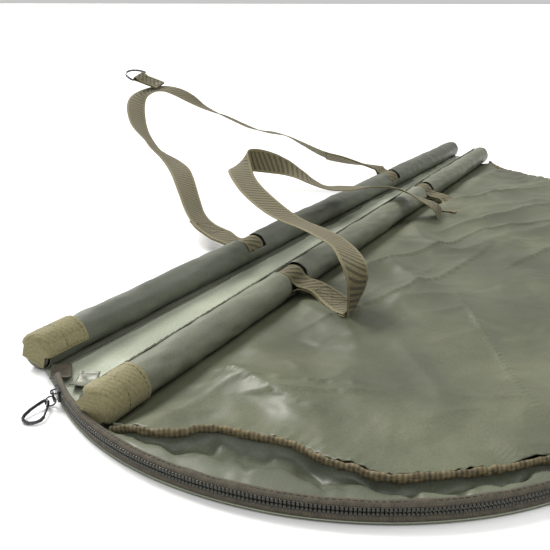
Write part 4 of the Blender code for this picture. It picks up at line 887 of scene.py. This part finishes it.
def right_gusset_piece():
    """Make the right gusset, a low wall under the right binding."""
    rows = 6
    foot = even(RIGHT_LINE, 0.004)
    rise = np.linspace(0.0016, RIGHT_EDGE_HEIGHT - 0.001, rows)[None, :]
    wall = np.repeat(foot[:, None, :], rows, axis=1)
    wall[..., 2] = rise
    bow = 0.0010 * soft_noise(np.arange(len(foot))[:, None] / 4.0, rise * 300, 44)
    wall[..., 0] += bow * np.sin(math.pi * np.linspace(0, 1, rows))
    return cloth_piece("right_gusset_cloth", wall, ["gusset_polyester"], THIN_SKIN)


def gathered(pitch, seed, tall, wide):
    """Return a flat tape's radius along and round its line, pinched at every gather."""
    def radius_at(place, angle):
        drift = float(soft_noise(np.array(place / 0.02), np.array(0.0), seed))
        pinch = math.sin(2 * math.pi * (place + 0.0014 * drift) / pitch)
        lump = float(soft_noise(np.array(place / 0.0042), np.array(angle / 1.6), seed + 1))
        oval = tall * wide / math.hypot(tall * math.cos(angle), wide * math.sin(angle))
        return oval * (1 + 0.06 * pinch * (0.5 + 0.5 * math.sin(angle)) + 0.26 * lump)
    return radius_at


class WEIGH_SLING_OT_side_cloth(bpy.types.Operator):
    """Make both gussets, the gathered bindings and the bottom seam"""
    bl_idname = "weigh_sling.side_cloth"
    bl_label = "Gussets and bindings"

    def execute(self, context):
        gusset = left_gusset_piece()
        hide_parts("left_gusset")
        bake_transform(gusset)
        wall = right_gusset_piece()
        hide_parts("right_gusset")
        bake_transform(wall)
        pitch = context.scene.weigh_sling_sizes.gather_pitch
        seam = [(SEAM_START + (SEAM_END - SEAM_START) * k / 8, SEAM_Y, SEAM_Z) for k in range(9)]
        for node, line, step, seed, tall, wide, body in (
                ("left_binding", LEFT_LINE, 0.0007, 51, 0.0033, 0.0017, "near_side"),
                ("right_binding", RIGHT_LINE, 0.0008, 53, 0.0034, 0.0022, "near_side"),
                ("bottom_seam", seam, 0.0010, 55, 0.0028, 0.0024, "base")):
            tape = tube_piece(node + "_tape", even(line, step), gathered(pitch, seed, tall, wide))
            wear(tape, body, "cloth", node)
        return {"FINISHED"}


def sleeve_piece(name, pole, anchors, low, high, seed, cloth):
    """Make one sleeve: a wrinkled cloth tube with a cut-out at each handle anchor."""
    end = POLE_HALF - 0.0005
    cuts = [(a - CUT_HALF, a + CUT_HALF) for a in anchors]
    along = ticks([-end, *cuts[0], *cuts[1], end], 0.0035)
    angles = ticks([-90.0, low, high, 270.0], 7.0)
    u, v = np.meshgrid(along, angles, indexing="ij")
    pull = soft_noise((u + 0.0004 * v) / 0.050, v / 38.0, seed) * 0.0007
    small = soft_noise((u - 0.0003 * v) / 0.014, v / 24.0, seed + 1) * 0.0006
    near_cut = np.max([np.exp(-np.abs(np.abs(u - a) - CUT_HALF) / 0.012) for a in anchors], axis=0)
    pucker = near_cut * 0.0007 * soft_noise(u / 0.006, v / 60.0, seed + 2)
    sag = 0.0005 * np.clip(-np.sin(np.radians(v)), 0, 1)
    radius = np.clip(SLEEVE_RADIUS - 0.0006 + pull + small + pucker + sag, 0.0128, 0.0160)

    def keep(r, c):
        mid_u, mid_v = (along[r] + along[r + 1]) / 2, (angles[c] + angles[c + 1]) / 2
        return not (low < mid_v < high and any(a < mid_u < b for a, b in cuts))

    return cloth_piece(name, pole.round_points(u, v, radius), [cloth], PANEL_SKIN, keep)


class WEIGH_SLING_OT_sleeves(bpy.types.Operator):
    """Make both pole sleeves, the far sleeve's sewn flange and the near sleeve's seam band"""
    bl_idname = "weigh_sling.sleeves"
    bl_label = "Sleeves"

    def execute(self, context):
        sizes = context.scene.weigh_sling_sizes
        far_anchors = (-FAR_SPREAD / 2, FAR_SPREAD / 2)
        near_anchors = (NEAR_SHIFT - NEAR_SPREAD / 2, NEAR_SHIFT + NEAR_SPREAD / 2)
        # The near sleeve's cloth is painted paler, as painted light on its lit top
        for side, pole, anchors, low, high, seed, cloth, body in (
                ("far", FAR, far_anchors, -30.0, 172.0, 61, "coated_polyester_sleeve", "base"),
                ("near", NEAR, near_anchors, 62.0, 215.0, 65, "coated_polyester_rubbed", "near_side")):
            sleeve = sleeve_piece(side + "_sleeve_cloth", pole, anchors, low, high, seed, cloth)
            wear(sleeve, body, "cloth", side + "_sleeve")

        u, v = two_ways((-POLE_HALF, POLE_HALF, 260), (-0.0090, -0.0206, 6))
        rise = 0.0021 + 0.0012 * np.linspace(1, 0, 6) ** 3
        rise = rise + 0.0006 * soft_noise(u / 0.02, v / 0.01, 71) * np.linspace(0, 1, 6)
        flange = cloth_piece("far_flange_cloth", FAR.points(u, v, rise - FAR.middle.z),
                             ["coated_polyester_sleeve"], PANEL_SKIN)
        wear(flange, "base", "cloth", "far_seam_flange")
        sewn = np.linspace(-POLE_HALF + 0.01, POLE_HALF - 0.01, 200)
        runs = [[FAR.point(x, across, 0.0030 - FAR.middle.z) for x in sewn] for across in (-0.0125, -0.0180)]
        wear(thread_piece("far_flange_thread", runs, sizes.stitch), "base", "cloth")

        start, end = -POLE_HALF + 0.0020, POLE_HALF - 0.0006
        u, v = two_ways((start, end, 300), (30.0, 58.0, 7))
        radius = SLEEVE_RADIUS + 0.0007 + 0.0003 * soft_noise(u / 0.010, v / 12.0, 73)
        band = cloth_piece("near_seam_cloth", NEAR.round_points(u, v, radius), ["coated_polyester_rubbed"],
                           THIN_SKIN)
        wear(band, "near_side", "cloth", "near_seam_band")
        count = int((end - start) / 0.0045)
        along = start + 0.004 + (end - start - 0.008) * np.arange(count) / count
        zigzag = NEAR.round_points(along, np.where(np.arange(count) % 2, 36.0, 56.0), SLEEVE_RADIUS + 0.0016)
        seam = thread_piece("near_seam_thread", list(zip(zigzag, zigzag[1:])), 0.0072, 0.0020, 0.00036)
        wear(seam, "near_side", "cloth")
        return {"FINISHED"}


class WEIGH_SLING_OT_lining_flap(bpy.types.Operator):
    """Make the pale lining flap that falls from the near pole into the mouth"""
    bl_idname = "weigh_sling.lining_flap"
    bl_label = "Lining flap"

    def execute(self, context):
        reach = 0.037
        shares = [(0.395, 0.192), (0.50, 0.095), (0.650, -0.027), (0.78, -0.150), (0.892, -0.257),
                  (1.000, -0.332), (0.985, -0.385), (0.919, -0.415), (0.743, -0.427), (0.551, -0.4325)]
        line = np.array(smooth([Vector((a, b, 0)) for a, b in shares], 3), float)[:, :2] * reach
        u = np.linspace(-0.531, 0.531, 270)[:, None]
        t = travel(line) / travel(line)[-1]
        folds = soft_noise(u / 0.040 + 2.2 * t, t[None, :] * 1.3, 81)
        finer = soft_noise(u / 0.013 + 1.5 * t, t[None, :] * 2.2, 82)
        push = np.sin(math.pi * np.clip(t * 1.15, 0, 1)) ** 0.8 * (0.0030 * folds + 0.0010 * finer)
        grid = NEAR.points(u + 0 * push, line[:, 0] + push * 0.7,
                           np.maximum(line[:, 1] + push, 0.0026 - NEAR.middle.z))
        flap = cloth_piece("lining_flap_cloth", grid, ["silver_coated_lining", "silver_coated_flap"],
                           THIN_SKIN)
        flap.modifiers["thickness"].material_offset = 0
        # Only the strip drawn tight beside the pole is bright, with a painted highlight
        for face in flap.data.polygons:
            face.material_index = int(t[face.index % (len(line) - 1)] < 0.24)
        wear(flap, "near_side", "lining", "near_lining_flap")
        return {"FINISHED"}


def end_tab_piece(name, pole, low, high, seed):
    """Make the webbing patch over a pole's left end, folded down over the plug; return it and its sewing."""
    inner, bend = SLEEVE_RADIUS + 0.0012, 0.0042
    start, stop = POLE_HALF + PLUG_END + 0.0014, POLE_HALF - END_TAB_LENGTH
    profile = [(-stop, inner), (0.006 - POLE_HALF, inner)]
    for k in range(7):
        angle = math.pi / 2 * k / 6
        profile.append((bend - start - bend * math.sin(angle), inner - bend + bend * math.cos(angle)))
    line = even([(a, b, 0) for a, b in profile], 0.0020)
    angles = np.linspace(low, high, 34)
    v, u = np.meshgrid(angles, line[:, 0], indexing="xy")
    radius = np.repeat(line[:, 1][:, None], len(angles), axis=1)
    on_side = np.clip((radius - 0.012) / 0.003, 0, 1)
    radius = radius + on_side * 0.0003 * soft_noise(u / 0.010, v / 22.0, seed)
    # Past the pole's end the webbing hangs straight down over the plug, inside this radius
    middle, cover = (low + high) / 2, 0.0150
    rows = [(u, v, radius)]
    turned = np.radians(angles - middle)
    for drop in np.linspace(0.1, 1.0, 10):
        aside, up = radius[-1] * np.sin(turned), radius[-1] * np.cos(turned)
        up = up - drop * np.maximum(up + 0.0085, 0)
        room = np.sqrt(cover ** 2 - up ** 2)
        aside = np.clip(aside, -room, room)
        rows.append((np.full((1, len(angles)), -start), middle + np.degrees(np.arctan2(aside, up))[None, :],
                     np.hypot(aside, up)[None, :]))
    grid = pole.round_points(*(np.concatenate(part) for part in zip(*rows)))
    patch = cloth_piece(name, grid, ["flat_webbing"], WEBBING)
    # Two rows of sewing run along the patch and two run round it
    near_end, far_end = 0.008 - POLE_HALF, -(stop + 0.004)
    lines = [((near_end, far_end, 24), (d, d, 24)) for d in (low + 9, high - 9)]
    lines += [((x, x, 20), (low + 9, high - 9, 20)) for x in (near_end * 0.66 + far_end * 0.34, far_end)]
    runs = [pole.round_points(np.linspace(*along), np.linspace(*turn), inner + WEBBING / 2 + 0.0001)
            for along, turn in lines]
    return patch, thread_piece(name.replace("webbing", "thread"), runs)


class WEIGH_SLING_OT_end_tabs(bpy.types.Operator):
    """Make the webbing patches over both poles' left ends"""
    bl_idname = "weigh_sling.end_tabs"
    bl_label = "Pole end tabs"

    def execute(self, context):
        for side, pole, low, high, seed, body in (("far", FAR, 28.0, 184.0, 91, "base"),
                                                  ("near", NEAR, 62.0, 212.0, 93, "near_side")):
            patch, sewing = end_tab_piece(side + "_end_webbing", pole, low, high, seed)
            wear(patch, body, "webbing", side + "_end_tab")
            wear(sewing, body, "webbing")
        return {"FINISHED"}


def arc_strip(profile):
    """Return a grid of points that sweeps a profile of (inset, height) along the whole zip."""
    angles = np.linspace(ZIP_TOP, ZIP_BOTTOM, int((ZIP_BOTTOM - ZIP_TOP) / 0.8) + 1)
    return np.stack([np.stack([*arc_point(angles, inset), angles * 0 + height], axis=1)
                     for inset, height in profile], axis=1)


def teeth_piece(name, low, high):
    """Make a row of moulded teeth round the zip's arc."""
    turn = ZIP_BOTTOM - ZIP_TOP
    count = int(math.radians(turn) * ARC_RADIUS / TOOTH_PITCH)
    half = math.degrees(0.36 * TOOTH_PITCH / ARC_RADIUS)
    bevel = 0.25 * (high - low)
    points, faces, uvs = [], [], []
    for k in range(count):
        faces += loops(len(points), 4, 4)
        for height, slim in ((low, 0.72), (low + bevel, 1.0), (high - bevel, 1.0), (high, 0.72)):
            for out, side in ((-1, -1), (1, -1), (1, 1), (-1, 1)):
                degrees = ZIP_TOP + (k + 0.5) * turn / count + side * half * slim
                points.append((*arc_point(degrees, -out * 0.00125 * slim), height))
                uvs.append((out * 0.001, side * 0.001))
    return new_piece(name, points, faces, uvs, ["moulded_nylon"])


class WEIGH_SLING_OT_zip(bpy.types.Operator):
    """Make the zip's tapes, teeth, tape ends and their sewing"""
    bl_idname = "weigh_sling.zip"
    bl_label = "Zip"

    def execute(self, context):
        lower = arc_strip([(0.0, 0.0077), (0.0, 0.0055), (0.0003, 0.0035), (0.0012, 0.0022)])
        upper = arc_strip([(0.0, 0.0122), (0.0004, 0.0136), (0.0014, 0.0148), (0.0028, 0.0154),
                           (0.0042, 0.0155)])
        turn = np.arange(upper.shape[0])[:, None] / 4.0
        upper[..., 2] += 0.0007 * soft_noise(turn, np.arange(5)[None, :] / 3.0, 101) * np.linspace(0, 1, 5)
        for place, side, grid in (("below", "lower", lower), ("above", "upper", upper)):
            tape = cloth_piece("zip_tape_" + place, grid, ["zip_tape_polyester"], TAPE_SKIN)
            wear(tape, "base", "webbing", "zip_tape_" + side)
        wear(teeth_piece("zip_coil_below", *LOWER_TEETH), "base", "zip_nylon", "zip_teeth_lower")
        wear(teeth_piece("zip_coil_above", *UPPER_TEETH), "base", "zip_nylon", "zip_teeth_upper")
        run = [(*arc_point(a, 0.0026), 0.0158) for a in np.linspace(150.0, 262.0, 260)]
        wear(thread_piece("zip_tape_thread", [run]), "base", "webbing")
        # Both folded ends curl up along their length
        half = 0.0125
        u, v = two_ways((-half, half, 15), (-0.0085, 0.0085, 11))
        for place, side, cloth, x, y, degrees, seed in (
                ("below", "lower", "zip_tape_polyester", -0.4990, 0.0310, 40.0, 105),
                ("above", "upper", "coated_polyester_rubbed", -0.5000, 0.0050, 20.0, 106)):
            height = 0.0042 + 0.0036 * (u / half) ** 2 + 0.0008 * soft_noise(u / 0.005, v / 0.005, seed)
            grid = Pole(x, y, 0.0, degrees).points(u, v, height)
            end = cloth_piece("zip_end_" + place, grid, [cloth], PANEL_SKIN)
            wear(end, "base", "cloth", "zip_end_tab_" + side)
        return {"FINISHED"}


class WEIGH_SLING_OT_hardware(bpy.types.Operator):
    """Give the poles, plugs, slider, clip and rings their finishes"""
    bl_idname = "weigh_sling.hardware"
    bl_label = "Hardware finishes"

    def execute(self, context):
        table = {
            "drawn_aluminium": ("far_pole", "near_pole"),
            "moulded_polyethylene": ("far_plug_left", "far_plug_right", "near_plug_left", "near_plug_right"),
            "black_nickel_zinc": ("zip_slider", "zip_pull", "pull_ring", "clip_body", "clip_gate", "d_ring",
                                  "zip_bottom_stop"),
        }
        for name, nodes in table.items():
            for node in nodes:
                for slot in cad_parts[node].material_slots:
                    slot.material = finish(name)
        return {"FINISHED"}


class WEIGH_SLING_OT_far_handle(bpy.types.Operator):
    """Make the far handle and the doubled tab that holds the D-ring"""
    bl_idname = "weigh_sling.far_handle"
    bl_label = "Far handle"

    def execute(self, context):
        main = route(FAR, FAR_SIZE, FAR_ROUTE)
        backwards = layer(main, 0.0, True)
        first = wrap(FAR, -FAR_SPREAD / 2, 16.0, FAR.along)
        last = wrap(FAR, FAR_SPREAD / 2, 52.0, -FAR.along, True)
        tail = layer(under(backwards), 0.0, True)
        grip = strap_piece("far_handle_webbing", under(main) + first + main + last + tail)
        wear(grip, "far_grip", "webbing", "far_handle")
        runs = []
        for places in (main, backwards):
            for side in (-1, 1):
                runs += box_stitch(places, 0.010, 0.044, side * STITCH_LIFT)
        wear(thread_piece("far_handle_thread", runs), "far_grip", "webbing")

        # The tab lies on the handle at its top and runs out from there, round the ring's straight bar
        apex, across, normal = main[14 * STEPS]
        normal = normal if normal.z > 0 else -normal
        beyond = across.cross(normal)
        beyond = beyond if beyond.y > 0 else -beyond
        tab_length, legs = 0.042, (1.0, 0.75, 0.5, 0.25)
        hold = 0.0017 + 0.0003 + WEBBING / 2
        bar = apex + beyond * 0.0740 + normal * (2 * LAYER + hold - 0.0026)
        path = [bar - beyond * tab_length * share - normal * (hold - 2 * LAYER) for share in legs]
        for k in range(19):
            angle = math.pi / 2 - math.pi * k / 18
            path.append(bar + beyond * (hold * math.cos(angle)) + normal * (hold * math.sin(angle)))
        path += [bar - beyond * tab_length * share - normal * hold for share in reversed(legs)]
        places = stations(path, [across] * len(path))
        wear(strap_piece("d_ring_webbing", places), "far_grip", "webbing", "d_ring_tab")
        total = travel(path)[-1]
        runs = []
        for start, end, sides in ((0.003, 0.034, (-1, 1)), (total - 0.034, total - 0.003, (1, -1))):
            for side in sides:
                runs += box_stitch(places, start, end, side * STITCH_LIFT)
        wear(thread_piece("d_ring_thread", runs), "far_grip", "webbing")
        return {"FINISHED"}


class WEIGH_SLING_OT_near_handle(bpy.types.Operator):
    """Make the near handle and its two doubled tabs"""
    bl_idname = "weigh_sling.near_handle"
    bl_label = "Near handle"

    def execute(self, context):
        threads = []
        for name, side, table in (("left", -1, LEFT_TAB), ("right", 1, RIGHT_TAB)):
            anchor = NEAR_SHIFT + side * NEAR_SPREAD / 2
            middle = route(NEAR, (anchor, TAB_REACH, -TAB_REACH, TAB_REACH), table)
            if side < 0:
                middle = mitre(middle, Vector(FOLD_LINE))
            loop = layer(middle, LAYER, True) + wrap(NEAR, anchor, 180.0, NEAR.along) + layer(middle, -LAYER)
            tab = strap_piece("near_tab_webbing_" + name, loop)
            wear(tab, "near_tabs", "webbing", "near_tab_" + name)
            top = max((-1, 1), key=lambda way: (middle[0][2] * way).z)
            total = travel([place[0] for place in middle])[-1]
            threads += box_stitch(middle, 0.008, min(total - 0.010, 0.046), top * (LAYER + STITCH_LIFT))
        wear(thread_piece("near_tab_thread", threads), "near_tabs", "webbing")
        grip = strap_piece("near_handle_webbing", route(NEAR, NEAR_SIZE, NEAR_ROUTE))
        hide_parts("near_handle")
        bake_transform(grip)
        return {"FINISHED"}


def stand(scene, name, data, spot, way):
    """Add a lamp or the camera at a spot, looking a way."""
    item = bpy.data.objects.new(name, data)
    item.location = spot
    item.rotation_euler = way.to_track_quat("-Z", "Y").to_euler()
    scene.collection.objects.link(item)
    return item


class WEIGH_SLING_OT_stage(bpy.types.Operator):
    """Make the floor, the soft studio light and the camera"""
    bl_idname = "weigh_sling.stage"
    bl_label = "Stage"

    def execute(self, context):
        scene, colours, count = context.scene, context.scene.weigh_sling_colours, 13
        spots = np.linspace(-FLOOR_HALF, FLOOR_HALF, count)
        points = [(x, y, 0.0) for y in spots for x in spots]
        new_piece("floor", points, grid_faces(count, count), [p[:2] for p in points],
                           ["seamless_paper"])
        world = bpy.data.worlds.new("soft_room")
        world.use_nodes = True
        fill(world.node_tree.nodes["Background"], {"Color": (*colours.background, 1.0), "Strength": 0.58})
        scene.world = world
        target = Vector((-0.10, -0.05, 0.0))
        # The two suns light the whole floor alike; the disk lamp fills from the camera's left
        lamps = [
            ("key_light", "SUN", (0.55, 1.45, 1.45), 24.0, 3.6, colours.key),
            ("front_light", "SUN", (0.75, -0.95, 1.75), 34.0, 0.85, (1.0, 1.0, 1.0)),
            ("fill_light", "AREA", (-1.40, -0.40, 1.40), 1.6, 9.0, (0.97, 0.985, 1.0)),
        ]
        for name, kind, spot, wide, power, colour in lamps:
            data = bpy.data.lights.new(name, kind)
            if kind == "SUN":
                data.angle = math.radians(wide)
            else:
                data.shape = "DISK"
                data.size = wide
            data.energy = power
            data.color = colour
            stand(scene, name, data, spot, target - Vector(spot))
        data = bpy.data.cameras.new("camera")
        data.lens = LENS
        data.sensor_width = 36.0
        data.shift_x = SHIFT_X
        data.clip_start = 0.01
        scene.camera = stand(scene, "camera", data, CAMERA, Vector(CAMERA_WAY))
        scene.view_settings.view_transform = "Standard"
        return {"FINISHED"}


class WEIGH_SLING_PT_panel(bpy.types.Panel):
    """Lists the sling's sizes, colours and pieces"""
    bl_label = "Weigh Sling"
    bl_idname = "WEIGH_SLING_PT_panel"
    bl_space_type = "VIEW_3D"
    bl_region_type = "UI"
    bl_category = "Weigh Sling"

    def draw(self, context):
        for group in (context.scene.weigh_sling_sizes, context.scene.weigh_sling_colours):
            for name in group.bl_rna.properties.keys():
                if name not in ("rna_type", "name"):
                    self.layout.prop(group, name)
        for operator in OPERATORS:
            self.layout.operator(operator.bl_idname)


OPERATORS = [
    WEIGH_SLING_OT_stage,
    WEIGH_SLING_OT_lower_cloth,
    WEIGH_SLING_OT_upper_cloth,
    WEIGH_SLING_OT_side_cloth,
    WEIGH_SLING_OT_sleeves,
    WEIGH_SLING_OT_lining_flap,
    WEIGH_SLING_OT_end_tabs,
    WEIGH_SLING_OT_zip,
    WEIGH_SLING_OT_hardware,
    WEIGH_SLING_OT_far_handle,
    WEIGH_SLING_OT_near_handle,
]
CLASSES = [WeighSlingSizes, WeighSlingColours, *OPERATORS, WEIGH_SLING_PT_panel]


def register():
    for each in CLASSES:
        bpy.utils.register_class(each)
    bpy.types.Scene.weigh_sling_sizes = bpy.props.PointerProperty(type=WeighSlingSizes)
    bpy.types.Scene.weigh_sling_colours = bpy.props.PointerProperty(type=WeighSlingColours)


def unregister():
    del bpy.types.Scene.weigh_sling_sizes
    del bpy.types.Scene.weigh_sling_colours
    for each in reversed(CLASSES):
        bpy.utils.unregister_class(each)


def main():
    """Make every piece."""
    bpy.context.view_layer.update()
    register()
    for operator in OPERATORS:
        group, call = operator.bl_idname.split(".")
        getattr(getattr(bpy.ops, group), call)()
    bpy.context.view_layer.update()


if __name__ == "__main__":
    main()
